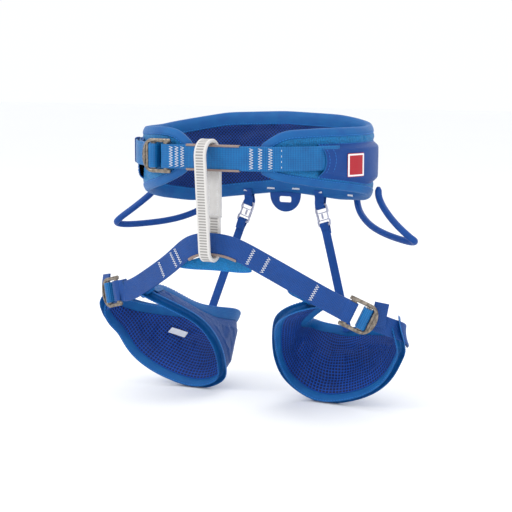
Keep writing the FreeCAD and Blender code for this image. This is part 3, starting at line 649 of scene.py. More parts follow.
def pebbled_mesh(name, low, high, grain):
    """Warp-knitted air mesh over foam: small raised knots whose tops are painted lighter (painted highlight),
    with the holes between them painted darker (painted shade) and random tone.
    """
    material, tree, shader = start_material(name, 0.55, Sheen_Weight=0.06, Sheen_Tint=linear("#8fe0ff"),
                                            IOR=1.5)
    place = put(tree, "ShaderNodeTexCoord").outputs["Object"]
    knots = put(tree, "ShaderNodeTexVoronoi", {"Vector": place, "Scale": 1 / (grain * MM), "Randomness": 0.6})
    knot_height_and_painted_light = put(tree, "ShaderNodeMapRange", {"Value": knots.outputs["Distance"], "From Min": 0.15,
                                            "From Max": 0.75,
                                            "To Min": 1.0, "To Max": 0.0}).outputs[0]
    # Colour: knot tops lighter as a painted highlight, holes darker as a painted shade, plus random tone.
    tone = calc(tree, "MULTIPLY_ADD", knot_height_and_painted_light, 0.6, calc(tree, "MULTIPLY", fade_noise(tree, 22), 0.4))
    tree.links.new(colour_mix(tree, tone, low, high), shader.inputs["Base Color"])
    bumped(tree, shader, knot_height_and_painted_light, 0.45)
    return material


def spacer_lining(name, hole, thread, pitch, diagonal):
    """Spacer mesh lining: a lattice of light threads over dark holes, on the square or on the diagonal."""
    material, tree, shader = start_material(name, 0.6, Sheen_Weight=0.05, Sheen_Tint=linear("#6fb4ff"),
                                            IOR=1.5)
    split = put(tree, "ShaderNodeSeparateXYZ", {0: run_place(tree)})
    first, second = split.outputs["X"], split.outputs["Y"]
    if diagonal:
        total = calc(tree, "ADD", first, second)
        second = calc(tree, "SUBTRACT", first, second)
        first = total
        pitch *= math.sqrt(2)
    waves = [wave(tree, value, pitch) for value in (first, second)]
    peak = calc(tree, "MAXIMUM", waves[0], waves[1])
    line = put(tree, "ShaderNodeMapRange", {"Value": peak, "From Min": 0.62, "From Max": 0.97}).outputs[0]
    tone = calc(tree, "MULTIPLY", line, calc(tree, "MULTIPLY_ADD", fade_noise(tree, 30), 0.7, 0.35))
    tree.links.new(colour_mix(tree, tone, hole, thread), shader.inputs["Base Color"])
    bumped(tree, shader, line, 0.5)
    return material


def plain_cloth(name, low, high, thread, roughness=0.5, sheen=0.06, tint="#7fd0ff", blotch=18):
    """Plain-woven polyester: an even fine grid of threads with a soft sheen and faint handling marks."""
    material, tree, shader = start_material(name, roughness, Sheen_Weight=sheen, Sheen_Tint=linear(tint),
                                            IOR=1.5)
    split = put(tree, "ShaderNodeSeparateXYZ", {0: run_place(tree)})
    grid = calc(tree, "MULTIPLY", wave(tree, split.outputs["X"], thread),
                wave(tree, split.outputs["Y"], thread))
    tone = calc(tree, "MULTIPLY_ADD", grid, 0.3, calc(tree, "MULTIPLY", fade_noise(tree, blotch), 0.7))
    tree.links.new(colour_mix(tree, tone, low, high), shader.inputs["Base Color"])
    bumped(tree, shader, grid, 0.18)
    return material


def sewing_thread(name, low, high):
    """Bonded polyester thread, twisted: bright, slightly shiny, with a little grey between plies."""
    material, tree, shader = start_material(name, 0.4, Sheen_Weight=0.05, IOR=1.53)
    tree.links.new(colour_mix(tree, fade_noise(tree, 0.8), low, high), shader.inputs["Base Color"])
    bumped(tree, shader, fade_noise(tree, 0.5), 0.1)
    return material


def anodised_alloy(name, low, high):
    """Aluminium alloy, forged, tumbled and anodised bronze-grey: satin metal with fine pits and scuffs."""
    material, tree, shader = start_material(name, 0.38, 1.0)
    scuff = fade_noise(tree, 3.5, 6.0)
    mark = put(tree, "ShaderNodeMapRange", {"Value": scuff, "From Min": 0.35, "From Max": 0.7}).outputs[0]
    tree.links.new(colour_mix(tree, mark, low, high), shader.inputs["Base Color"])
    rough = put(tree, "ShaderNodeMapRange", {"Value": scuff, "From Min": 0.3, "From Max": 0.7, "To Min": 0.52,
                                             "To Max": 0.3})
    tree.links.new(rough.outputs[0], shader.inputs["Roughness"])
    bumped(tree, shader, fade_noise(tree, 1.1, 4.0), 0.2, 0.6)
    return material


def moulded_plastic(name, low, high, roughness, grain):
    """Polymer moulded or extruded in one colour: smooth, softly glossy, with a fine tool texture."""
    material, tree, shader = start_material(name, roughness, IOR=1.48)
    tree.links.new(colour_mix(tree, fade_noise(tree, 9), low, high), shader.inputs["Base Color"])
    bumped(tree, shader, fade_noise(tree, grain, 2.0), 0.08, 0.5)
    return material


def belay_weave(name, low, high):
    """Polyamide and polyethylene loop webbing: grey weft bars between plain white edge cords."""
    material, tree, shader = start_material(name, 0.5, Sheen_Weight=0.05, IOR=1.53)
    split = put(tree, "ShaderNodeSeparateXYZ", {0: run_place(tree)})
    bars = wave(tree, split.outputs["X"], 3.4)
    fine = wave(tree, split.outputs["Y"], 1.3)
    edge = calc(tree, "ABSOLUTE", split.outputs["Y"])
    middle = put(tree, "ShaderNodeMapRange", {"Value": edge, "From Min": 4.6 * MM, "From Max": 5.6 * MM,
                                              "To Min": 1.0, "To Max": 0.0}).outputs[0]
    dark = calc(tree, "MULTIPLY", bars, middle)
    tone = calc(tree, "MULTIPLY_ADD", dark, -0.75, 0.9)
    tree.links.new(colour_mix(tree, tone, low, high), shader.inputs["Base Color"])
    height = calc(tree, "ADD", tone, calc(tree, "MULTIPLY", fine, 0.2))
    bumped(tree, shader, height, 0.4)
    return material


def woven_label(name, ground, thread):
    """Jacquard label: dense red satin with one plain light frame near its edge and no mark."""
    material, tree, shader = start_material(name, 0.5, Sheen_Weight=0.06, IOR=1.5)
    split = put(tree, "ShaderNodeSeparateXYZ", {0: run_place(tree)})
    reach = [calc(tree, "ABSOLUTE", split.outputs[axis]) for axis in ("X", "Y")]
    bands = []
    for value, near in ((reach[0], 6.2), (reach[1], 8.7)):
        bands.append(calc(tree, "COMPARE", value, near * MM, 0.75 * MM))
    inside = [calc(tree, "LESS_THAN", value, near * MM)
              for value, near in ((reach[0], 6.95), (reach[1], 9.45))]
    sides = [calc(tree, "MULTIPLY", bands[i], inside[1 - i]) for i in (0, 1)]
    frame_mask = calc(tree, "MAXIMUM", sides[0], sides[1])
    tree.links.new(colour_mix(tree, frame_mask, ground, thread), shader.inputs["Base Color"])
    bumped(tree, shader, wave(tree, split.outputs["X"], 0.9), 0.12)
    return material


FINISHES = {}


def tone(colour, gain):
    """A panel colour made darker or lighter."""
    return tuple(min(1.0, channel * gain) for channel in colour) + (1.0,)


def make_finishes():
    c = bpy.context.scene.harness_colours
    pale = "#ffffff"
    FINISHES.update({
        # For the woven straps and knitted meshes, the low tone is painted shade and the high tone is painted
        # highlight, mixed with random tone.
        "webbing": woven_strap("webbing_polyamide_woven", tone(c.webbing_colour, 0.4),
                               tone(c.webbing_colour, 1.0), 1.9, 2.6),
        # The waist webbing's rib tops reach the bright colour, a painted highlight.
        "waist_webbing": woven_strap("waist_webbing_polyamide_woven", tone(c.webbing_colour, 0.5),
                                     tone(c.bright_and_highlight_colour, 1.0), 2.1, 2.6),
        "elastic": woven_strap("elastic_knitted_polyester", tone(c.webbing_colour, 0.6),
                               tone(c.webbing_colour, 1.2), 1.2,
                               1.5, 0.55),
        "shell": pebbled_mesh("air_mesh_polyester_knitted", tone(c.bright_and_highlight_colour, 0.35),
                              tone(c.bright_and_highlight_colour, 1.15), 1.9),
        "leg_shell": plain_cloth("leg_face_polyester_woven", tone(c.webbing_colour, 0.45),
                                 tone(c.webbing_colour, 0.9), 1.0),
        "sleeve": plain_cloth("sleeve_polyester_plain_woven", tone(c.sleeve_colour, 0.75),
                              tone(c.sleeve_colour, 1.25), 0.9),
        "binding": plain_cloth("binding_tape_polyester_woven", tone(c.webbing_colour, 0.8),
                               tone(c.bright_and_highlight_colour, 0.8), 1.1),
        "belt_lining": spacer_lining("belt_lining_spacer_mesh", tone(c.lining_colour, 1),
                                     tone(c.lining_thread_colour, 1),
                                     3.3, True),
        "leg_lining": spacer_lining("leg_lining_spacer_mesh", tone(c.lining_colour, 1.6),
                                    tone(c.lining_thread_colour, 1.3),
                                    4.1, False),
        "gusset": pebbled_mesh("gusset_polyester_knitted", tone(c.bright_and_highlight_colour, 0.6),
                               tone(c.bright_and_highlight_colour, 1.3), 1.5),
        "thread": sewing_thread("tack_thread_polyester_bonded", linear("#c8ccd4"), linear("#f6f7fa")),
        "blue_thread": sewing_thread("seam_thread_polyester_bonded", linear("#0a60c8"), linear("#2f9ae6")),
        "alloy": anodised_alloy("buckle_alloy_forged_anodised", linear("#6a625a"), linear("#a3988b")),
        "hook": moulded_plastic("hook_acetal_moulded", linear("#a9abc0"), linear("#cfcfdc"), 0.38, 0.7),
        "gear": moulded_plastic("gear_tube_polyurethane_extruded", tone(c.gear_loop_colour, 0.85),
                                tone(c.gear_loop_colour, 1.2), 0.42, 1.4),
        "belay": belay_weave("belay_loop_polyamide_woven", linear("#77736f"), linear("#dedbd7")),
        "belay_label": plain_cloth("belay_cover_polyester_woven", linear("#c4c1bd"), linear("#e4e2df"), 1.3,
                                   0.55, 0.05, pale,
                                   6),
        "protector": plain_cloth("protector_polyamide_coated", linear("#7f6c66"), linear("#a8958e"), 1.4, 0.6,
                                 0.05, pale, 8),
        "label": woven_label("label_polyester_jacquard", linear("#b0202e"), linear("#f2eeee")),
        "tag": plain_cloth("tag_polyester_satin", linear("#dfe2ec"), linear("#f7f8fb"), 0.7, 0.45, 0.1, pale,
                           9),
    })


def finish(piece, look, body, replaces=()):
    """Gives a piece its material, its body and the nodes it stands for."""
    piece.data.materials.clear()
    piece.data.materials.append(FINISHES[look])
    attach(piece, body)
    if replaces:
        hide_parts(*replaces)
    return piece


# ---------------------------------------------------------------- waist belt
def smoothstep(x):
    x = np.clip(x, 0, 1)
    return x * x * (3 - 2 * x)


def belt_pad_grid():
    """Stations, heights and distances to the padding's rim."""
    first, last = PROFILE[0][0] * GIRTH, PROFILE[-1][0] * GIRTH
    stations = np.linspace(first + 1.0, last - 1.0, 176)[:, None]
    top, low = belt_edges(stations)
    heights = low + 0.8 + (top - low - 1.6) * np.linspace(0, 1, 25)[None, :]
    stations = np.broadcast_to(stations, heights.shape)
    rim = np.minimum(np.minimum(heights - low, top - heights), np.minimum(stations - first, last - stations))
    return stations, heights, rim


def make_belt_padding(sizes):
    s, z, rim = belt_pad_grid()
    under_strap = smoothstep((np.minimum(z - (WAIST_HEIGHT - 19), WAIST_HEIGHT + 19 - z)) / 4 + 0.5)
    sleeve_low = np.maximum(SLEEVE_LOW, belt_edges(s)[1] + 10.5)
    in_sleeve = np.minimum(np.minimum(z - sleeve_low, SLEEVE_TOP - z),
                           np.minimum(s - SLEEVE_MOUTH, GIRTH - SLEEVE_MOUTH - s))
    under_sleeve = smoothstep(in_sleeve / 4 + 0.7)
    flat = np.maximum(under_strap, under_sleeve)
    sewn_face = np.maximum(flat, 1 - smoothstep((rim - sizes.binding_face + 2) / 5))
    sewn_back = 1 - smoothstep((rim - sizes.binding_lining + 2) / 5)
    edge = smoothstep(rim / 9)
    face_offset = 3.0 + (OUTER_FACE - 3.0) * edge + sizes.crown * (1 - sewn_face)
    back_offset = -2.4 - 1.1 * edge - 0.6 * sizes.crown * (1 - sewn_back)
    face, back = on_belt(s, face_offset, z), on_belt(s, back_offset, z)
    sewn = np.stack([sewn_face, sewn_back])
    face, back = puffed("belt_padding", face, back, sewn, 2.6)
    run = np.stack([s, z, np.zeros_like(s)], axis=-1)
    way = ring_way(s)
    out = np.stack([way[..., 1], -way[..., 0], np.zeros_like(s)], axis=-1)
    pad = finish(layer("belt_padding", face, back + out * 0.05, run), "shell", "waist_belt",
                 ["belt_foam", "belt_shell"])
    lining = finish(layer("belt_lining_mesh", back - out * 1.3, back - out * 0.1, run), "belt_lining",
                    "waist_belt",
                    ["belt_lining"])
    return pad, lining


def belt_rim():
    """Closed line round the padding as (station, height), and the directions into the padding."""
    first, last = PROFILE[0][0] * GIRTH, PROFILE[-1][0] * GIRTH
    s = np.linspace(first, last, 240)
    top, low = belt_edges(s)
    end = np.linspace(0, 1, 14)[1:-1]
    line = np.concatenate([
        np.stack([s, top], 1), np.stack([np.full(12, last), top[-1] + (low[-1] - top[-1]) * end], 1),
        np.stack([s, low], 1)[::-1], np.stack([np.full(12, first), low[0] + (top[0] - low[0]) * end], 1)])
    closed = np.vstack([line, line[:1]])
    run = lengths(closed)
    even = np.linspace(0, run[-1], int(run[-1] / 3.0), endpoint=False)
    line = np.stack([np.interp(even, run, closed[:, i]) for i in (0, 1)], 1)
    for _ in range(3):
        line = (np.roll(line, 1, 0) + 2 * line + np.roll(line, -1, 0)) / 4
    way = unit(np.roll(line, -1, 0) - np.roll(line, 1, 0))
    return line, np.stack([way[:, 1], -way[:, 0]], 1), even


def binding_section(face_reach, back_reach, face, back):
    """Folded tape round a pad's rim: (inward, out) pairs."""
    outside = [(back_reach, back - 0.5), (back_reach - 0.7, back - 1.25), (back_reach * 0.6, back - 1.35),
               (4.0, back - 1.0), (1.2, back * 0.83), (-0.9, back * 0.62), (-1.9, back * 0.2),
               (-2.0, face * 0.2),
               (-1.1, face * 0.62), (1.2, face * 0.86), (4.0, face + 0.7), (face_reach * 0.6, face + 1.0),
               (face_reach - 0.7, face + 0.95), (face_reach, face + 0.3)]
    inside = [(face_reach - 0.4, face - 0.3), (4.0, face - 0.5), (1.0, face * 0.55), (0.0, 0.0),
              (1.0, back * 0.5), (4.0, back + 0.6), (back_reach - 0.4, back + 0.3)]
    return np.array(outside + inside)


def make_belt_binding(sizes):
    line, inward, even = belt_rim()
    section = binding_section(sizes.binding_face, sizes.binding_lining, OUTER_FACE, INNER_FACE)
    s = line[:, :1] + inward[:, :1] * section[None, :, 0]
    z = line[:, 1:] + inward[:, 1:] * section[None, :, 0]
    rows = on_belt(s, section[None, :, 1], z)
    run = np.stack([np.broadcast_to(even[:, None], s.shape), np.broadcast_to(section[None, :, 0], s.shape),
                    s * 0], -1)
    binding = swept("belt_edge_binding", rows, run, loop=True)
    finish(smoothed(binding), "binding", "waist_belt",
           ["belt_binding_top", "belt_binding_bottom"])
    seams = []
    for reach, offset in ((sizes.binding_face - 1.8, OUTER_FACE + 1.05),
                          (sizes.binding_lining - 1.8, INNER_FACE - 1.4)):
        seam = on_belt(line[:, 0] + inward[:, 0] * reach, offset, line[:, 1] + inward[:, 1] * reach)
        seams.append(stitch_row(np.vstack([seam, seam[:1]]), sizes.stitch_pitch))
    finish(threads("belt_binding_stitches", np.concatenate(seams), 0.3), "blue_thread", "waist_belt")
    middle = GIRTH / 2
    tacks = []
    for station in (-110, -RISER_SPREAD, -19, 19, RISER_SPREAD, 110):
        low = float(belt_edges(middle + station)[1])
        for offset in (INNER_FACE - 1.75, OUTER_FACE + 1.35):
            def surface(along, across, low=low, station=station, offset=offset):
                return on_belt(middle + station + across, offset, low + 4.6 + along)
            tacks.append(bar_tack(surface, (0, 0), 11.0, 2.4, 8))
    finish(threads("belt_edge_tacks", np.concatenate(tacks), 0.42), "thread", "waist_belt")


def sleeve_start(z, low):
    """Station of the sleeve's curved mouth at a height."""
    half = (SLEEVE_TOP - low) / 2
    share = (z - (SLEEVE_TOP + low) / 2) / half
    return SLEEVE_MOUTH + 5.0 - 9.0 * share**2


def make_sleeve(sizes):
    columns = 30
    share = np.linspace(0, 1, 170)[:, None]
    rough = SLEEVE_MOUTH + (GIRTH - 2 * SLEEVE_MOUTH) * share
    low = np.maximum(SLEEVE_LOW, belt_edges(rough)[1] + 10.5)
    z = low + (SLEEVE_TOP - low) * (0.5 - 0.5 * np.cos(np.linspace(0, math.pi, columns)))[None, :]
    start = sleeve_start(z, low)
    s = start + (GIRTH - 2 * start) * share
    rise = smoothstep(np.minimum(z - low, SLEEVE_TOP - z) / 8.0)
    ease = 0.25 * np.sin(s * 0.13 + z * 0.09) * rise
    offset = OUTER_FACE + 0.5 + (SLEEVE_OUTER - OUTER_FACE - 0.4) * rise + ease
    run = np.stack([s, z, s * 0], -1)
    sleeve = layer("belt_sleeve", on_belt(s, offset, z), on_belt(s, offset - 0.9 + 0.4 * (1 - rise), z), run)
    finish(sleeve, "sleeve", "waist_belt", ["belt_webbing_sleeve"])
    pipes, rows = [], []
    for end in (0, -1):
        mouth = on_belt(s[end], offset[end] + 0.1, z[end])
        pipes.append(tube("pipe", through(mouth[::3], 1.5), 0.85, 8))
        for inset in (4.5, 13.0):
            way = 1 if end == 0 else -1
            row = on_belt(s[end] + way * inset, offset[end] + 0.25, z[end])
            rows.append(stitch_row(through(row[2:-2:3], 1.0), sizes.stitch_pitch))
    finish(joined("sleeve_mouth_piping", pipes), "binding", "waist_belt")
    for column in (2, -3):
        rows.append(stitch_row(on_belt(s[:, column], offset[:, column] + 0.15, z[:, column]),
                               sizes.stitch_pitch))
    finish(threads("sleeve_stitches", np.concatenate(rows), 0.32), "blue_thread", "waist_belt")


# ---------------------------------------------------------------- waist webbing and hardware
FOLD_MIDDLE = BAR_THICK / 2 + BAR_GAP + WEBBING / 2
BUCKLE_OFFSET = OUTER_FACE + 1.5 + FOLD_HALF


def fold_nose(place, start, reach):
    """Path round the near bar in a buckle's frame, from the outer face to the inner one."""
    turn = np.linspace(math.pi / 2, -math.pi / 2, 13)
    nose = reach - FOLD_MIDDLE
    a = np.concatenate([np.linspace(start, nose, 4)[:-1], nose + FOLD_MIDDLE * np.cos(turn),
                        np.linspace(nose, start, 4)[1:]])
    c = np.concatenate([np.full(3, FOLD_MIDDLE), FOLD_MIDDLE * np.sin(turn), np.full(3, -FOLD_MIDDLE)])
    return in_frame(place, a, np.zeros_like(a), c)


def doubled_offset(station):
    share = np.clip((-30.0 - station) / 24.0, 0, 1)
    return WEBBING_MIDDLE + (BUCKLE_OFFSET + FOLD_MIDDLE - WEBBING_MIDDLE) * share


def make_waist_webbing():
    front = np.arange(162.0, -53.0, -2.0)
    outer = on_belt(front, doubled_offset(front), WAIST_HEIGHT)
    back = np.arange(-53.0, -32.0, 2.5)
    inner = on_belt(back, BUCKLE_OFFSET - FOLD_MIDDLE - 0.35 * (back + 53) / 20, WAIST_HEIGHT)
    path = np.concatenate([outer, fold_nose(WAIST_BUCKLE, -3.0, 5.5), inner])
    step = np.concatenate([front, np.full(len(path) - len(front), -60.0)])
    thick = WEBBING + 1.1 * smoothstep((step - 82.0) / 1.5) * (step < 160)
    webbing = strap("waist_webbing_strap", path, UP, WAIST_WIDTH, thick)
    finish(webbing, "waist_webbing", "waist_belt", ["waist_webbing"])

    def face(along, across):
        lift = np.where(along > 82, 0.55, 0.0)
        return on_belt(along, doubled_offset(along) + WEBBING / 2 + 0.2 + lift, across)
    tacks = [bar_tack(face, (s, WAIST_HEIGHT), 25.0, 4.4, 8) for s in (-34.0, -41.0, -48.0, 56.0, 66.0, 77.0)]
    dots = face(np.full(4, 89.0), np.linspace(-2.0, 18.0, 4))
    tacks.append(np.stack([dots - UP * 1.1, dots + UP * 1.1], axis=1))
    finish(threads("waist_tacks", np.concatenate(tacks), 0.36), "thread", "waist_belt",
           ["waist_bar_tacks"])

    back_wall, front_wall = WEBBING_INNER - 1.0, WEBBING_INNER + WEBBING + 1.1
    low, high = WAIST_HEIGHT - 16.2, WAIST_HEIGHT + 16.2
    lip = 2.6
    section = np.array([(back_wall, low + 0.5), (back_wall + 0.6, low - 0.1), (front_wall - 0.6, low - 0.1),
                        (front_wall, low + 0.5), (front_wall + 0.1, low + lip), (front_wall - 0.7, low + lip),
                        (front_wall - 0.85, low + 1.0), (back_wall + 0.8, low + 1.0),
                        (back_wall + 0.8, high - 1.0),
                        (front_wall - 0.85, high - 1.0), (front_wall - 0.7, high - lip),
                        (front_wall + 0.1, high - lip),
                        (front_wall, high - 0.5), (front_wall - 0.6, high + 0.1),
                        (back_wall + 0.6, high + 0.1),
                        (back_wall, high - 0.5)])
    s = np.linspace(-29.0, 42.0, 36)[:, None]
    rows = on_belt(s, section[None, :, 0], section[None, :, 1])
    run = np.stack([np.broadcast_to(s, rows.shape[:2]), np.broadcast_to(section[None, :, 1], rows.shape[:2]),
                    np.zeros(rows.shape[:2])], -1)
    finish(swept("tie_in_protector", rows, run), "protector", "waist_belt",
           ["waist_tie_in_protector"])


def buckle_plate(name, place, webbing_width):
    """Rolled-edge frame with its near bar, an arched end plate and a raised lip."""
    opening = webbing_width / 2 + 1.5
    side = opening + RAIL
    near, far = -BAR_WIDTH / 2, -BAR_WIDTH / 2 + BUCKLE_LENGTH
    arc = np.linspace(-math.pi / 2, math.pi / 2, 29)
    shoulder = far - 17.0
    end = np.stack([shoulder + 17.0 * np.cos(arc) ** 0.8, side * np.sin(arc)], 1)
    outer = np.vstack([[(near - 3, -side + 0.8), (near - 1.5, -side)], end,
                       [(near - 1.5, side), (near - 3, side - 0.8),
                       (near - 3, opening), (near, opening), (near, -opening), (near - 3, -opening)]])
    window = rounded([(BAR_WIDTH / 2, -opening), (far - END_PLATE - 0.5, -opening),
                      (far - END_PLATE - 0.5, opening), (BAR_WIDTH / 2, opening)], (0.8, 3.0, 3.0, 0.8))
    frame_plate = plate(name + "_plate", [outer, window], BAR_THICK, 1.6, place)
    b = np.linspace(-opening + 3, opening - 3, 24)
    lip = in_frame(place, far - 4.2 - 2.2 * (b / opening) ** 2, b, np.full_like(b, BAR_THICK / 2 + 0.3))
    swell = 1.5 * np.clip(np.cos(b / (opening - 2) * math.pi / 2), 0, 1) ** 0.35
    ridge = tube(name + "_lip", lip, np.maximum(swell, 0.5), 12)
    return joined(name, [frame_plate, ridge])


def bar_wrap(name, place, webbing_width, depth=-7.0):
    """Webbing rolled over the sliding bar, both ends dropping behind the buckle."""
    shape = [(-5.0, depth), (-4.95, -3.0), (-4.6, 0.6), (-3.2, 3.1), (0, 3.9), (3.2, 3.1), (4.6, 0.6),
             (4.95, -3.0),
             (5.0, depth)]
    line = through(np.array([(SLIDE_MIDDLE + a, c, 0.0) for a, c in shape]), 0.9)
    path = in_frame(place, line[:, 0], np.zeros(len(line)), line[:, 1])
    return strap(name, path, place[2], webbing_width)


def make_waist_buckle():
    finish(buckle_plate("waist_buckle_plate", WAIST_BUCKLE, WAIST_WIDTH), "alloy", "waist_buckle",
           ["waist_buckle_frame"])
    finish(bar_wrap("waist_strap_wrap", WAIST_BUCKLE, WAIST_WIDTH), "waist_webbing", "waist_slide_bar",
           ["waist_buckle_wrap"])
    load_end, tail_end = (in_frame(WAIST_BUCKLE, SLIDE_MIDDLE + a, 0, -5.2) for a in (-5.0, 5.0))
    load = [on_belt(s, o, WAIST_HEIGHT) for s,
            o in ((-174, WEBBING_MIDDLE), (-155, WEBBING_MIDDLE), (-138, 9.1),
                                                     (-120, 8.0), (-104, 7.4), (-92, 7.2))]
    path = through(load + [load_end - WAIST_BUCKLE[3] * 2.0 + WAIST_BUCKLE[1] * 4.0, load_end], 1.6)
    strand = finish(strap("waist_load_strand", path, UP, WAIST_WIDTH - 0.4), "waist_webbing", "waist_belt",
                    ["waist_adjuster_webbing"])
    tail_offset = SLEEVE_OUTER + 0.4 + WEBBING / 2 + 0.4
    tail = [on_belt(s, tail_offset, WAIST_HEIGHT) for s in np.arange(-215.0, -125.0, 12.0)]
    tail += [on_belt(s, o, WAIST_HEIGHT) for s, o in ((-120, 12.9), (-108, 11.6))]
    path = through(tail + [in_frame(WAIST_BUCKLE, 33.0, 0, -5.2), tail_end], 1.6)
    loose = finish(strap("waist_tail_strand", path, UP, WAIST_WIDTH), "waist_webbing", "waist_belt",
                   ["waist_strap_tail"])
    for strip in (strand, loose):
        strip.parent = None
        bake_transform(strip)
    reach, wall = tail_offset + WEBBING / 2 + 0.9, WAIST_WIDTH / 2 + 0.9
    corners = rounded([(SLEEVE_OUTER - 1.0, WAIST_HEIGHT - wall), (reach, WAIST_HEIGHT - wall),
                       (reach, WAIST_HEIGHT + wall), (SLEEVE_OUTER - 1.0, WAIST_HEIGHT + wall)],
                       (0, 1.6, 1.6, 0))
    hoop = on_belt(-177.5, corners[:, 0], corners[:, 1])
    finish(strap("tail_keeper_loop", hoop, np.append(ring_way(-177.5), 0), 15.0, 1.2), "elastic",
           "waist_belt",
           ["waist_tail_keeper"])
    s, z = np.meshgrid(np.linspace(-7.0, 7.0, 10), np.linspace(-9.8, 9.8, 12), indexing="ij")
    run = np.stack([s, z, s * 0], -1)
    middle = 184.5
    patch = layer("label_patch_woven", on_belt(middle + s * 1.85, SLEEVE_OUTER + 1.15, z * 1.5 - 2.0),
                  on_belt(middle + s * 1.85, SLEEVE_OUTER + 0.3, z * 1.5 - 2.0), run)
    finish(patch, "label", "waist_belt", ["label_patch"])
    frame["nodes"]["waist_buckle_bar"].data.materials.clear()
    frame["nodes"]["waist_buckle_bar"].data.materials.append(FINISHES["alloy"])


# ---------------------------------------------------------------- belay loop
def racetrack(shrink, count=96):
    """Closed line in the Y-Z plane round the loop's two circles, inside its outline by shrink."""
    top, low = np.array(BELAY_TOP), np.array(BELAY_LOW)
    radii = np.array(BELAY_RADII) - shrink
    line = low - top
    heading, tilt = math.atan2(line[1], line[0]), math.acos((radii[0] - radii[1]) / np.linalg.norm(line))
    arcs = []
    for centre, radius, first, last in ((top, radii[0], heading + tilt, heading + 2 * math.pi - tilt),
                                        (low, radii[1], heading - tilt, heading + tilt)):
        angle = np.linspace(first, last, 40)
        arcs.append(centre + radius * np.stack([np.cos(angle), np.sin(angle)], 1))
    ring = np.vstack(arcs + [arcs[0][:1]])
    run = lengths(ring)
    even = np.linspace(0, run[-1], count, endpoint=False)
    flat = np.stack([np.interp(even, run, ring[:, i]) for i in (0, 1)], 1)
    return np.column_stack([np.zeros(count), flat])


def make_belay_loop():
    loop = strap("belay_loop_strap", racetrack(BELAY_THICK / 2, 150), (1.0, 0, 0), BELAY_WIDTH,
                 BELAY_THICK - 0.9,
                 loop=True, cord=0.45)
    finish(smoothed(loop), "belay", "belay_loop", ["belay_loop_webbing"])
    middle = racetrack(BELAY_THICK / 2, 400)
    leg = middle[(middle[:, 1] > -106) & (middle[:, 2] > -67) & (middle[:, 2] < -7)]
    leg = leg[np.argsort(leg[:, 2])]
    cover = strap("belay_label_cover", leg[::4], (1.0, 0, 0), BELAY_WIDTH + 1.8, BELAY_THICK + 1.8)
    finish(cover, "belay_label", "belay_loop", ["belay_label_sleeve"])
    rows = []
    for face in (-1, 1):
        out = np.array([0, face * (BELAY_THICK / 2 + 1.0), 0])
        for x in (-5.6, 5.6):
            rows.append(stitch_row(leg[4:-4] + out + np.array([x, 0, 0]), 3.0))
        for end in (leg[5], leg[-6]):
            across = end + out + np.linspace(-5.4, 5.4, 12)[:, None] * np.array([1.0, 0, 0])
            rows.append(stitch_row(across, 3.0))
    finish(threads("belay_cover_stitches", np.concatenate(rows), 0.3), "thread", "belay_loop")


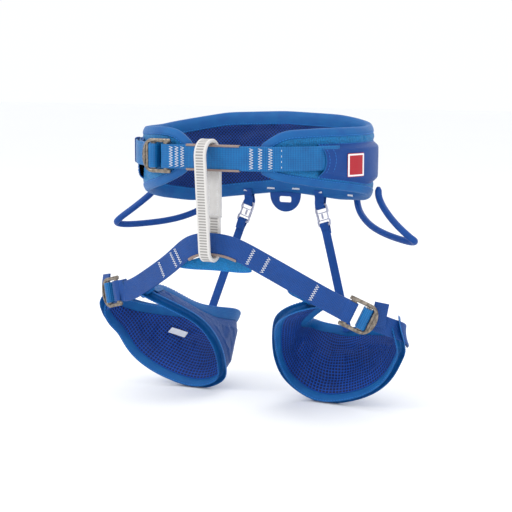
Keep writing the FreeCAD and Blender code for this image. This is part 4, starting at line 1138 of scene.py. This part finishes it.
# ---------------------------------------------------------------- leg bridge and leg buckles
def make_bridge():
    t = np.linspace(0.1, len(BRIDGE) - 1.1, 190)
    path = on_bridge(t, 0.0, 0.0)
    starts, ends = [], []
    for side, rows in (("right", starts), ("left", ends)):
        place = LEG_BUCKLES[side]
        a = np.linspace(-9.0, -6.0, 3)
        rows.append(in_frame(place, a, a * 0, np.linspace(0.6, 2.4, 3)))
        rows.append(fold_nose(place, -3.0, 5.5))
        rows.append(in_frame(place, np.array([-6.5, -12.0, -20.0]), np.zeros(3),
                             np.array([-3.2, -2.9, -2.8])))
    body = path[(np.abs(path[:, 0]) < 152)]
    right, left = np.vstack(starts), np.vstack(ends)
    whole = np.vstack([right[::-1], body, left])
    way = unit(np.gradient(path, axis=0))
    ups = unit(UP - way * (way @ UP)[:, None])[np.abs(path[:, 0]) < 152]
    wide = np.vstack([np.tile(ups[0], (len(right), 1)), ups, np.tile(ups[-1], (len(left), 1))])
    for side, rows in (("right", slice(0, len(right))), ("left", slice(len(right) + len(body), None))):
        across = LEG_BUCKLES[side][2]
        wide[rows] = across if across[2] > 0 else -across
    for _ in range(2):
        wide = unit(np.vstack([wide[:1], wide[:-2] + 2 * wide[1:-1] + wide[2:], wide[-1:]]))
    finish(strap("leg_bridge_strap", whole, wide, LEG_STRAP_WIDTH), "webbing", "waist_belt",
           ["leg_bridge_webbing"])

    half = LEG_STRAP_WIDTH / 2
    tacks = []
    for middle in (2.55, 3.15, 3.38, 6.75, 7.25, 8.75):
        speed = np.linalg.norm(BRIDGE_LINE(middle)[1])

        def face(along, across, middle=middle, speed=speed):
            return on_bridge(middle + np.asarray(along) / speed, across, WEBBING / 2 + 0.2)
        tacks.append(bar_tack(face, (0, 0), 2 * half - 6.0, 4.2, 7))
    finish(threads("bridge_tacks", np.concatenate(tacks), 0.36), "thread", "waist_belt",
           ["bridge_bar_tacks"])

    back, front, low = -WEBBING / 2 - 0.1, WEBBING / 2 + 0.1, -half - 0.4
    section = np.array([(back - 0.9, low - 0.3), (back - 0.3, low - 1.0), (front + 0.3, low - 1.0),
                        (front + 1.0, low - 0.3),
                        (front + 1.0, low + 2.2), (front + 0.2, low + 2.2), (front, low), (back, low),
                        (back, half - 1),
                        (back - 0.9, half - 1)])
    t = np.linspace(3.75, 6.35, 60)[:, None]
    rows = on_bridge(t, section[None, :, 1], section[None, :, 0])
    run = np.stack([np.broadcast_to(t * 33, rows.shape[:2]),
                    np.broadcast_to(section[None, :, 1], rows.shape[:2]),
                    np.zeros(rows.shape[:2])], -1)
    finish(swept("bridge_protector_lip", rows, run), "protector", "waist_belt",
           ["bridge_protector"])

    rows = spline([(-50, -95.0, -126, -133), (-30, -90.0, -121, -135), (0, -86.6, -114, -135),
                   (30, -90.0, -119, -135),
                   (52, -94.5, -125, -132)], range(5))(np.linspace(0, 4, 60))[0]
    share = np.linspace(0, 1, 12)
    sag = 1.6 * np.sin(share * math.pi) * np.cos((rows[:, :1]) / 52 * math.pi / 2)
    x = np.broadcast_to(rows[:, :1], sag.shape)
    y = rows[:, 1:2] + 0.6 - sag * 0.7
    z = rows[:, 2:3] + (rows[:, 3:4] - rows[:, 2:3]) * share[None, :]
    apron = np.stack([x, np.broadcast_to(y, x.shape), z], -1)
    run = np.stack([x, z, x * 0], -1)
    gusset = layer("bridge_apron", apron - np.array([0, 0.5, 0]), apron + np.array([0, 0.5, 0]), run)
    finish(gusset, "gusset", "waist_belt", ["bridge_gusset"])
    hem = apron[:, -1] + np.array([0, -0.7, 1.2])
    zigzag = hem[::1] + np.where(np.arange(len(hem)) % 2 == 0, 1.0, -1.0)[:, None] * np.array([0, 0, 0.9])
    finish(threads("apron_hem_stitches", np.stack([zigzag[:-1], zigzag[1:]], 1), 0.3), "blue_thread",
           "waist_belt")


def make_leg_buckles():
    for side in SIDES:
        place = LEG_BUCKLES[side]
        finish(buckle_plate("leg_buckle_plate_" + side, place, LEG_STRAP_WIDTH), "alloy",
               "leg_buckle_" + side,
               [f"leg_buckle_{side}_frame"])
        finish(bar_wrap("leg_strap_wrap_" + side, place, LEG_STRAP_WIDTH), "waist_webbing",
               "leg_slide_bar_" + side,
               [f"leg_buckle_{side}_wrap"])
        bar = frame["nodes"][f"leg_buckle_{side}_bar"]
        bar.data.materials.clear()
        bar.data.materials.append(FINISHES["alloy"])


# ---------------------------------------------------------------- leg loops
LEG_HALF = LEG_FOAM / 2
LEG_FACE, LEG_INNER = LEG_HALF + SHELL, -LEG_HALF - LINING


def leg_rim(side):
    """Closed line round a leg pad, the directions into it and the outward directions."""
    t = np.linspace(0.0, LEG_LAST, 300)
    width = leg_frame(t)[2]
    steps = np.linspace(0, 1, 12)[1:-1]
    spots = ([(v, 0.0) for v in t] + [(LEG_LAST, share * width[-1]) for share in steps]
             + [(v, w) for v, w in zip(t[::-1], width[::-1])] + [(0.0,
                                                                  share * width[0]) for share in steps[::-1]])
    spots = np.array(spots)
    points = on_leg(spots[:, 0], spots[:, 1], 0.0)
    faces = leg_frame(spots[:, 0])[3]
    run = lengths(np.vstack([points, points[:1]]))
    even = np.linspace(0, run[-1], int(run[-1] / 3.0), endpoint=False)
    pack = np.column_stack([points, faces])
    pack = np.vstack([pack, pack[:1]])
    even_pack = np.stack([np.interp(even, run, pack[:, i]) for i in range(6)], 1)
    for _ in range(3):
        even_pack = (np.roll(even_pack, 1, 0) + 2 * even_pack + np.roll(even_pack, -1, 0)) / 4
    line, out = even_pack[:, :3], unit(even_pack[:, 3:])
    way = unit(np.roll(line, -1, 0) - np.roll(line, 1, 0))
    inward = unit(np.cross(out, way))
    flip = np.array([side, 1, 1])
    return line * flip, inward * flip, out * flip, even


def make_leg(name, side, sizes):
    body = "leg_" + name
    flip = np.array([side, 1, 1])
    t = np.linspace(0.03, LEG_LAST - 0.03, 150)[:, None]
    near, across, width, out, _ = leg_frame(t[:, 0])
    share = np.linspace(0, 1, 23)[None, :]
    reach = 0.8 + (width[:, None] - 1.6) * share
    run_line = lengths(near + across * width[:, None] / 2)
    along = np.broadcast_to(run_line[:, None], reach.shape)
    rim = np.minimum(np.minimum(reach, width[:, None] - reach), np.minimum(along, run_line[-1] - along))
    sewn_face = 1 - smoothstep((rim - sizes.binding_face) / 5)
    sewn_back = 1 - smoothstep((rim - sizes.binding_leg_lining) / 5)
    edge = smoothstep(rim / 9)
    face_offset = 2.6 + (LEG_FACE - 2.6) * edge + sizes.crown * 0.8 * (1 - sewn_face)
    back_offset = -2.0 - 1.0 * edge - 0.8 * sizes.crown * (1 - sewn_back)
    tt = np.broadcast_to(t, reach.shape)
    face, back = on_leg(tt, reach, face_offset), on_leg(tt, reach, back_offset)
    face, back = puffed("leg_padding_" + name, face, back, np.stack([sewn_face, sewn_back]), 2.4)
    run = np.stack([along, reach, reach * 0], -1)
    normal = np.broadcast_to(out[:, None, :], face.shape)
    pad = layer("leg_padding_" + name, face * flip, (back + normal * 0.05) * flip, run)
    finish(pad, "leg_shell", body, ["leg_foam_" + name, "leg_shell_" + name])
    lining = layer("leg_lining_mesh_" + name, (back - normal * 1.3) * flip, (back - normal * 0.1) * flip, run)
    finish(lining, "leg_lining", body, ["leg_lining_" + name])

    line, inward, outward, even = leg_rim(side)
    section = binding_section(sizes.binding_face, sizes.binding_leg_lining, LEG_FACE, LEG_INNER)
    far_start, far_end = 0.5, 0.97
    place = even / even[-1]
    far = smoothstep((place - far_start) / 0.02) * smoothstep((far_end - place) / 0.02)
    rows = []
    for index, (point, way, up) in enumerate(zip(line, inward, outward)):
        wide = section.copy()
        beyond = (wide[:, 1] > 0) & (wide[:, 0] > 3)
        wide[beyond, 0] += 6.0 * far[index] * (wide[beyond, 0] / sizes.binding_face)
        rows.append(point + wide[:, :1] * way + wide[:, 1:] * up)
    rows = np.array(rows)
    band_run = np.stack([np.broadcast_to(even[:, None], rows.shape[:2]),
                         np.broadcast_to(section[None, :, 0], rows.shape[:2]), np.zeros(rows.shape[:2])], -1)
    binding = swept("leg_edge_binding_" + name, rows, band_run, loop=True)
    finish(smoothed(binding), "binding", body,
           ["leg_binding_front_" + name, "leg_binding_back_" + name])
    seams = []
    for index in (13, 0):
        seam = rows[:, index] - inward * 1.8 + outward * (0.75 if index else -0.9)
        seams.append(stitch_row(np.vstack([seam, seam[:1]]), sizes.stitch_pitch))
    finish(threads("leg_binding_stitches_" + name, np.concatenate(seams), 0.3), "blue_thread", body)

    # Strap from the pad's outer end up to the sliding bar, and its loose tail
    buckle = LEG_BUCKLES[name]
    up = buckle[2] if buckle[2][2] > 0 else -buckle[2]
    low, high = on_leg([LEG_LAST] * 2, [0.0, float(width[-1])], 0.0, side)
    end_way = unit(high - low)
    inner = on_leg([LEG_LAST - 1.1], [float(leg_frame([LEG_LAST - 1.1])[2][0]) / 2], LEG_FACE + 1.6, side)[0]
    lip = on_leg([LEG_LAST - 0.2], [float(width[-1]) / 2], LEG_FACE + 1.6, side)[0]
    bar_end = in_frame(buckle, SLIDE_MIDDLE + 3.5, 0, -8.5)
    route = through([inner, lip, (lip + bar_end) / 2 + np.array([side * 1.5, -0.5, 0]),
                     bar_end - buckle[3] * 1.0,
                     bar_end + buckle[3] * 1.5], 1.5)
    share = np.linspace(0, 1, len(route))[:, None]
    wide = unit(end_way * (1 - share) + up * share)
    finish(strap("leg_strap_webbing_" + name, route, wide, LEG_STRAP_WIDTH - 4.0), "webbing", body,
           ["leg_strap_" + name])
    root = in_frame(buckle, BUCKLE_LENGTH - 1.0, 0, -BAR_THICK / 2 - 4.0)
    tail_way = unit([side * 0.10, 0.25, 1.0])
    flat = np.array([side * 0.9, 0.45, -0.2])
    flat = unit(flat - tail_way * (flat @ tail_way))
    lean = np.cross(tail_way, flat)
    line_tail = through([root + tail_way * k + lean * c for k,
                         c in ((-3.0, -0.6), (5.0, 0.2), (14.0, 0.6), (23.0, -0.2),
                                                                     (27.0, -0.6))], 1.2)
    finish(strap("leg_strap_end_" + name, line_tail, flat, 18.0), "webbing", "leg_buckle_" + name,
           ["leg_strap_tail_" + name])

    # Webbing tab from the pad's tip up behind the bridge
    tip = np.linspace(0, 1, 9)[:, None]
    width_start = float(width[0])
    from_pad = on_leg(np.full(9, 0.35), 2.0 + (width_start - 4.0) * tip[:, 0], LEG_FACE + 0.9, side)
    to_pad = on_leg(np.full(9, 0.0), 2.0 + (width_start - 4.0) * tip[:, 0], LEG_FACE + 0.5, side)
    bridge_t = 5 + side * (3.05 + 0.75 * tip[:, 0])
    on_back = on_bridge(bridge_t, -7.0, -WEBBING / 2 - 1.1)
    below = on_bridge(bridge_t, -14.0, -WEBBING / 2 - 1.6)
    grid = []
    for j in range(9):
        grid.append(through([from_pad[j], to_pad[j], below[j], on_back[j]], 1.0)[
            np.linspace(0, len(through([from_pad[j], to_pad[j], below[j], on_back[j]], 1.0)) - 1,
                        16).astype(int)])
    grid = np.array(grid)
    du, dv = np.gradient(grid, axis=0), np.gradient(grid, axis=1)
    normal = unit(np.cross(du, dv))
    j, i = np.meshgrid(np.linspace(0, width_start, 9), np.linspace(0, 40, 16), indexing="ij")
    tab = layer("leg_tip_tab_" + name, grid + normal * 0.8, grid - normal * 0.8, np.stack([i, j, i * 0], -1))
    finish(tab, "binding", "waist_belt")
    tab.parent = None
    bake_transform(tab)


def make_leg_tag():
    t = np.linspace(7.6, 8.4, 14)[:, None]
    middle = leg_frame(t[:, 0])[2][:, None] * 0.66
    across = middle + np.linspace(-4.6, 4.6, 10)[None, :]
    tt = np.broadcast_to(t, across.shape)
    run = np.stack([tt * 20, across, tt * 0], -1)
    flip = np.array([-1, 1, 1])
    lift = LEG_INNER - 2.6
    tag = layer("leg_tag_ribbon", on_leg(tt, across, lift - 0.7) * flip, on_leg(tt, across, lift) * flip, run)
    finish(tag, "tag", "leg_right", ["leg_tag"])


# ---------------------------------------------------------------- risers, gear loops and haul loop
def riser_place(side):
    """Local frame of a riser: the hook's top bar is at the origin and the leg's end is along it."""
    reach = np.array([-RISER_SPREAD, RISER_SPREAD]) * side
    exact = np.interp(0.5 - RISER_SPREAD / GIRTH, [row[0] for row in PROFILE], [row[2] for row in PROFILE])
    top = on_belt(GIRTH / 2 + reach[0], 0, exact - 14.0)
    edge = LEG_FAR(7.0)[0][0]
    foot = np.array([side * edge[0], edge[1] - 6.0, edge[2] + 7.5])
    return bar_frame(top, foot - top, (float(side), 0, 0)), foot


def make_riser(name, side):
    body = "riser_" + name
    place, foot = riser_place(side)
    reach = float(np.linalg.norm(foot - place[0]))
    length, wide, inner = 28.5, 9.5, 7.5
    outer = rounded([(-1.5, -wide + 1.2), (8.5, -wide), (12.0, -wide + 1.8), (18.5, -wide + 1.8),
                     (21.5, -wide),
                     (length, -wide + 0.6), (length, wide - 0.6), (21.5, wide), (18.5, wide - 1.8),
                     (12.0, wide - 1.8), (8.5, wide), (-1.5, wide - 1.2)],
                    (2.4, 2, 1.5, 1.5, 2, 2.4, 2.4, 2, 1.5, 1.5, 2, 2.4))
    upper = rounded([(1.5, -inner), (9.5, -inner + 1), (9.5, inner - 1), (1.5, inner)], 1.5)
    lower = rounded([(20.5, -inner), (25.5, -inner), (25.5, inner), (20.5, inner)], 1.2)
    hook = plate("riser_hook_plate_" + name, [outer, upper, lower], 4.0, 0.9, place)
    rib = tube("rib", in_frame(place, np.linspace(11.5, 18.5, 9), np.zeros(9), np.full(9, 2.1)), 1.4, 10)
    finish(joined("riser_hook_moulding_" + name, [hook, rib]), "hook", body,
           ["riser_hook_" + name])

    a = np.array([39.0, 33.0, 28.5, 25.6, 24.1, 25.6, 28.5, 34.0, 42.0, 60.0, reach * 0.6, reach * 0.8,
                  reach])
    c = np.array([-1.9, -2.9, -3.2, -2.9, 0.0, 2.9, 3.1, 1.2, 0.5, 0.3, 0.0, 0.0, 0.0])
    line = through(np.stack([a, c, c * 0], 1), 1.5)
    elastic = strap("riser_elastic_band_" + name, in_frame(place, line[:, 0], line[:, 0] * 0, line[:, 1]),
                    place[2], 12.0,
                    2.0)
    finish(elastic, "elastic", body, ["riser_elastic_" + name])
    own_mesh(elastic)

    station = GIRTH / 2 - side * RISER_SPREAD
    low = float(belt_edges(station)[1])
    seam_out, seam_in = on_belt(station, OUTER_FACE + 1.9, low + 7), on_belt(station, INNER_FACE - 2.2,
                                                                             low + 7)
    rim_out, rim_in = on_belt(station, 3.6, low - 2.6), on_belt(station, -3.6, low - 2.6)
    away = 1 if (place[3] @ (seam_out - seam_in)) > 0 else -1
    path = through([seam_out, (seam_out + rim_out) / 2 + (seam_out - seam_in) * 0.02, rim_out,
                    in_frame(place, -2.2, 0, 3.8 * away), in_frame(place, 2.6, 0, 3.4 * away),
                    in_frame(place, 4.2, 0, 0),
                    in_frame(place, 2.6, 0, -3.4 * away), in_frame(place, -2.2, 0, -3.8 * away), rim_in,
                    (seam_in + rim_in) / 2 + (seam_in - seam_out) * 0.02, seam_in], 0.9)
    anchor = strap("riser_anchor_strap_" + name, path, place[2], 13.0, 1.5)
    finish(anchor, "elastic", "waist_belt", ["riser_anchor_" + name])


def eased(points, steps=14):
    """Line that rounds each corner of a route between the middles of its runs."""
    points = [np.asarray(p, float) for p in points]
    line = [points[0] + (points[1] - points[0]) * k for k in np.linspace(0, 0.5, 4)[:-1]]
    for a, b, c in zip(points, points[1:], points[2:]):
        start, end = (a + b) / 2, (b + c) / 2
        for k in np.linspace(0, 1, steps, endpoint=False):
            line.append(start * (1 - k) ** 2 + 2 * b * k * (1 - k) + end * k**2)
    line += [points[-2] + (points[-1] - points[-2]) * k for k in np.linspace(0.5, 1, 4)]
    return np.array(line)


def make_gear_loop(name, side):
    offset = OUTER_FACE + 1.0 + 4.5 + 3.6
    first, last = 0.283 * GIRTH, 0.378 * GIRTH
    exact = [np.interp(v / GIRTH, [row[0] for row in PROFILE], [row[2] for row in PROFILE]) for v in (first,
                                                                                                      last)]
    route = [on_belt(first, offset, SLEEVE_LOW - 4),
             on_belt(first, offset, exact[0] - 6)] + list(GEAR_ROUTE) + [
        on_belt(last, offset, exact[1] - 12), on_belt(last, offset, SLEEVE_LOW - 4)]
    path = eased(route) * np.array([side, 1, 1])
    run = lengths(path)
    even = np.linspace(0, run[-1], 170)
    path = np.stack([np.interp(even, run, path[:, i]) for i in range(3)], 1)
    ends = np.minimum(even, run[-1] - even)
    radius = 4.5 * np.clip(0.45 + 0.55 * (ends / 5.0), 0.45, 1.0)
    finish(smoothed(tube("gear_loop_" + name + "_tube", path, radius, 16)), "gear", "gear_loop_" + name,
           ["gear_loop_tube_" + name, "gear_loop_cord_" + name])


def make_haul_loop():
    pivot = np.array([0.0, BACK_REACH, frame_joint("haul_loop_swing")[2] / MM])
    half, drop, rise = 23.0, 24.0, 3.0
    turn = np.linspace(0, math.pi, 29)
    curve = [(-half * math.cos(a) * (1 - 0.10 * math.sin(a)), -drop * math.sin(a) ** 0.8) for a in turn]
    outer = np.array([(-half, rise)] + curve + [(half, rise)])
    hole = rounded([(-9.0, -11.0), (9.0, -11.0), (9.0, -3.0), (-9.0, -3.0)], 2.4)
    place = (pivot, np.array([1.0, 0, 0]), UP, np.array([0, -1.0, 0]))
    finish(plate("haul_loop_strap", [outer, hole], 2.5, 0.7, place), "gear", "haul_loop",
           ["haul_loop"])


def frame_joint(name):
    """Place of a joint, in metres."""
    return next(joint["pos_m"] for joint in frame["joints"] if joint["name"] == name)


# ---------------------------------------------------------------- stage
FLOOR_GAP, FLOOR_REACH = 0.004, 9e3     # metres below the part, and millimetres each way
VIEW_TARGET = np.array([0.008, 0.004, -0.127])
VIEW_TURN, VIEW_RISE, VIEW_DISTANCE, VIEW_LENS = 27, 8, 1.9, 102.8


def make_stage():
    """Pale floor, soft studio lamps and the camera."""
    lowest = CAD_BOX[0][2] - FLOOR_GAP
    corners = [(-FLOOR_REACH, -FLOOR_REACH, 0), (FLOOR_REACH, -FLOOR_REACH, 0),
               (FLOOR_REACH, FLOOR_REACH, 0), (-FLOOR_REACH, FLOOR_REACH, 0)]
    floor = new_object("floor", np.array(corners), [(0, 1, 2, 3)], solid=False)
    floor.location.z = lowest
    paper, tree, shader = start_material("floor_paper_matte", 0.9)
    tree.links.new(colour_mix(tree, fade_noise(tree, 900), linear("#fbfbfb"), linear("#fdfdfd")),
                   shader.inputs["Base Color"])
    floor.data.materials.append(paper)
    world = bpy.data.worlds.new("studio")
    bpy.context.scene.world = world
    world.use_nodes = True
    background = world.node_tree.nodes["Background"]
    background.inputs["Color"].default_value = linear("#f6f8fb")
    background.inputs["Strength"].default_value = 1.08
    for name, place, power, size in (("key", (-1.5, -1.7, 1.5), 18, 0.9), ("fill", (1.9, -1.3, 0.7), 5, 1.2),
                                     ("top", (0.1, 0.4, 2.0), 9, 1.4), ("back", (0.4, 2.0, 0.9), 5, 1.2)):
        light = bpy.data.lights.new(name, "AREA")
        light.energy, light.size = power, size
        lamp = bpy.data.objects.new(name, light)
        bpy.context.scene.collection.objects.link(lamp)
        look_from(lamp, np.array(place), VIEW_TARGET)
    camera_data = bpy.data.cameras.new("camera")
    camera_data.lens, camera_data.sensor_width, camera_data.clip_end = VIEW_LENS, 36.0, 50.0
    camera = bpy.data.objects.new("camera", camera_data)
    bpy.context.scene.collection.objects.link(camera)
    turn, rise = math.radians(VIEW_TURN), math.radians(VIEW_RISE)
    back = np.array([math.sin(turn) * math.cos(rise), -math.cos(turn) * math.cos(rise), math.sin(rise)])
    look_from(camera, VIEW_TARGET + VIEW_DISTANCE * back, VIEW_TARGET)
    bpy.context.scene.camera = camera
    bpy.context.scene.view_settings.view_transform = "Standard"


def look_from(thing, place, target):
    """Puts a lamp or the camera at a place, looking at the target with its top upwards."""
    back = unit(place - target)
    right = unit(np.cross(UP, back))
    turn = Matrix(np.column_stack([right, np.cross(back, right), back]).tolist()).to_4x4()
    thing.matrix_world = Matrix.Translation(place.tolist()) @ turn


# ---------------------------------------------------------------- settings, operators and panel
def colour_property(name, description, code):
    return FloatVectorProperty(name=name, description=description, default=linear(code)[:3], size=3,
                               subtype="COLOR", min=0.0, max=1.0)


def length_property(name, description, value, low, high):
    return FloatProperty(name=name, description=description + ", in millimetres", default=value, min=low,
                         max=high)


class HarnessSizes(bpy.types.PropertyGroup):
    """Sizes of the soft finish, in millimetres"""
    crown: length_property("Crown", "How far the padding swells between its seams", 1.3, 0.0, 3.0)
    binding_face: length_property("Binding on the face", "Reach of the edge tape over the outer face", 9.0,
                                  5.0, 14.0)
    binding_lining: length_property("Binding on the lining", "Reach of the belt's tape over its lining", 16.0,
                                    8.0, 22.0)
    binding_leg_lining: length_property("Leg binding on the lining", "Reach of the leg tape over its lining",
                                        12.0, 6.0, 16.0)
    stitch_pitch: length_property("Stitch pitch", "Distance from one stitch to the next", 4.0, 2.0, 8.0)
    pad_fill: FloatProperty(name="Pad fill", description="How full the foam pads are", default=0.6, min=0.0,
                            max=1.0, subtype="FACTOR")


class HarnessColours(bpy.types.PropertyGroup):
    """Main colours of the harness"""
    webbing_colour: colour_property("Webbing", "Load webbing, leg faces and tapes", "#024c9f")
    # Bright cloth colour: the shell's and gusset's own colour, and also the painted highlight on the waist
    # webbing's ribs and the shell's knots.
    bright_and_highlight_colour: colour_property("Bright cloth", "Knitted shell and the webbing's raised ribs", "#087cbe")
    sleeve_colour: colour_property("Sleeve", "Belt sleeve fabric", "#033f8a")
    lining_colour: colour_property("Lining", "Holes of the spacer lining", "#010e34")
    lining_thread_colour: colour_property("Lining threads", "Lattice of the spacer lining", "#0a4cae")
    gear_loop_colour: colour_property("Gear loops", "Gear loop tubes", "#03428c")


class HARNESS_OT_finishes(bpy.types.Operator):
    """Makes the woven, sewn, moulded and metal materials"""
    bl_idname, bl_label = "harness.finishes", "Materials"

    def execute(self, context):
        make_finishes()
        return {"FINISHED"}


class HARNESS_OT_belt(bpy.types.Operator):
    """Builds the waist padding, its lining, edge binding and webbing sleeve"""
    bl_idname, bl_label = "harness.belt", "Waist belt"

    def execute(self, context):
        sizes = context.scene.harness_sizes
        make_belt_padding(sizes)
        make_belt_binding(sizes)
        make_sleeve(sizes)
        return {"FINISHED"}


class HARNESS_OT_waist_webbing(bpy.types.Operator):
    """Builds the waist webbing with its tacks, protector, buckle, tail and label"""
    bl_idname, bl_label = "harness.waist_webbing", "Waist webbing and buckle"

    def execute(self, context):
        make_waist_webbing()
        make_waist_buckle()
        return {"FINISHED"}


class HARNESS_OT_belay_loop(bpy.types.Operator):
    """Builds the belay loop and the stitched cover over its joint"""
    bl_idname, bl_label = "harness.belay_loop", "Belay loop"

    def execute(self, context):
        make_belay_loop()
        return {"FINISHED"}


class HARNESS_OT_bridge(bpy.types.Operator):
    """Builds the leg bridge with its protector, tacks, apron and two buckles"""
    bl_idname, bl_label = "harness.bridge", "Leg bridge and buckles"

    def execute(self, context):
        make_bridge()
        make_leg_buckles()
        return {"FINISHED"}


class HARNESS_OT_legs(bpy.types.Operator):
    """Builds both padded leg loops with their linings, bindings, straps and tips"""
    bl_idname, bl_label = "harness.legs", "Leg loops"

    def execute(self, context):
        for name, side in SIDES.items():
            make_leg(name, side, context.scene.harness_sizes)
        make_leg_tag()
        return {"FINISHED"}


class HARNESS_OT_back(bpy.types.Operator):
    """Builds the elastic risers, gear loops and haul loop"""
    bl_idname, bl_label = "harness.back", "Risers and loops"

    def execute(self, context):
        for name, side in SIDES.items():
            make_riser(name, side)
            make_gear_loop(name, side)
        make_haul_loop()
        return {"FINISHED"}


class HARNESS_OT_stage(bpy.types.Operator):
    """Sets up the floor, the soft lights and the camera"""
    bl_idname, bl_label = "harness.stage", "Stage"

    def execute(self, context):
        make_stage()
        return {"FINISHED"}


OPERATORS = (HARNESS_OT_finishes, HARNESS_OT_belt, HARNESS_OT_waist_webbing, HARNESS_OT_belay_loop,
             HARNESS_OT_bridge, HARNESS_OT_legs, HARNESS_OT_back, HARNESS_OT_stage)


class HARNESS_PT_panel(bpy.types.Panel):
    """Lists the harness's settings and pieces"""
    bl_idname, bl_label = "HARNESS_PT_panel", "Sit harness"
    bl_space_type, bl_region_type, bl_category = "VIEW_3D", "UI", "Harness"

    def draw(self, context):
        for group in (context.scene.harness_sizes, context.scene.harness_colours):
            for name in group.__annotations__:
                self.layout.prop(group, name)
        for operator in OPERATORS:
            self.layout.operator(operator.bl_idname)


CLASSES = (HarnessSizes, HarnessColours) + OPERATORS + (HARNESS_PT_panel,)


def register():
    for each in CLASSES:
        bpy.utils.register_class(each)
    bpy.types.Scene.harness_sizes = PointerProperty(type=HarnessSizes)
    bpy.types.Scene.harness_colours = PointerProperty(type=HarnessColours)


def unregister():
    del bpy.types.Scene.harness_sizes
    del bpy.types.Scene.harness_colours
    for each in reversed(CLASSES):
        bpy.utils.unregister_class(each)


def main():
    register()
    for operator in OPERATORS:
        group, name = operator.bl_idname.split(".")
        getattr(getattr(bpy.ops, group), name)()


if __name__ == "__main__":
    main()
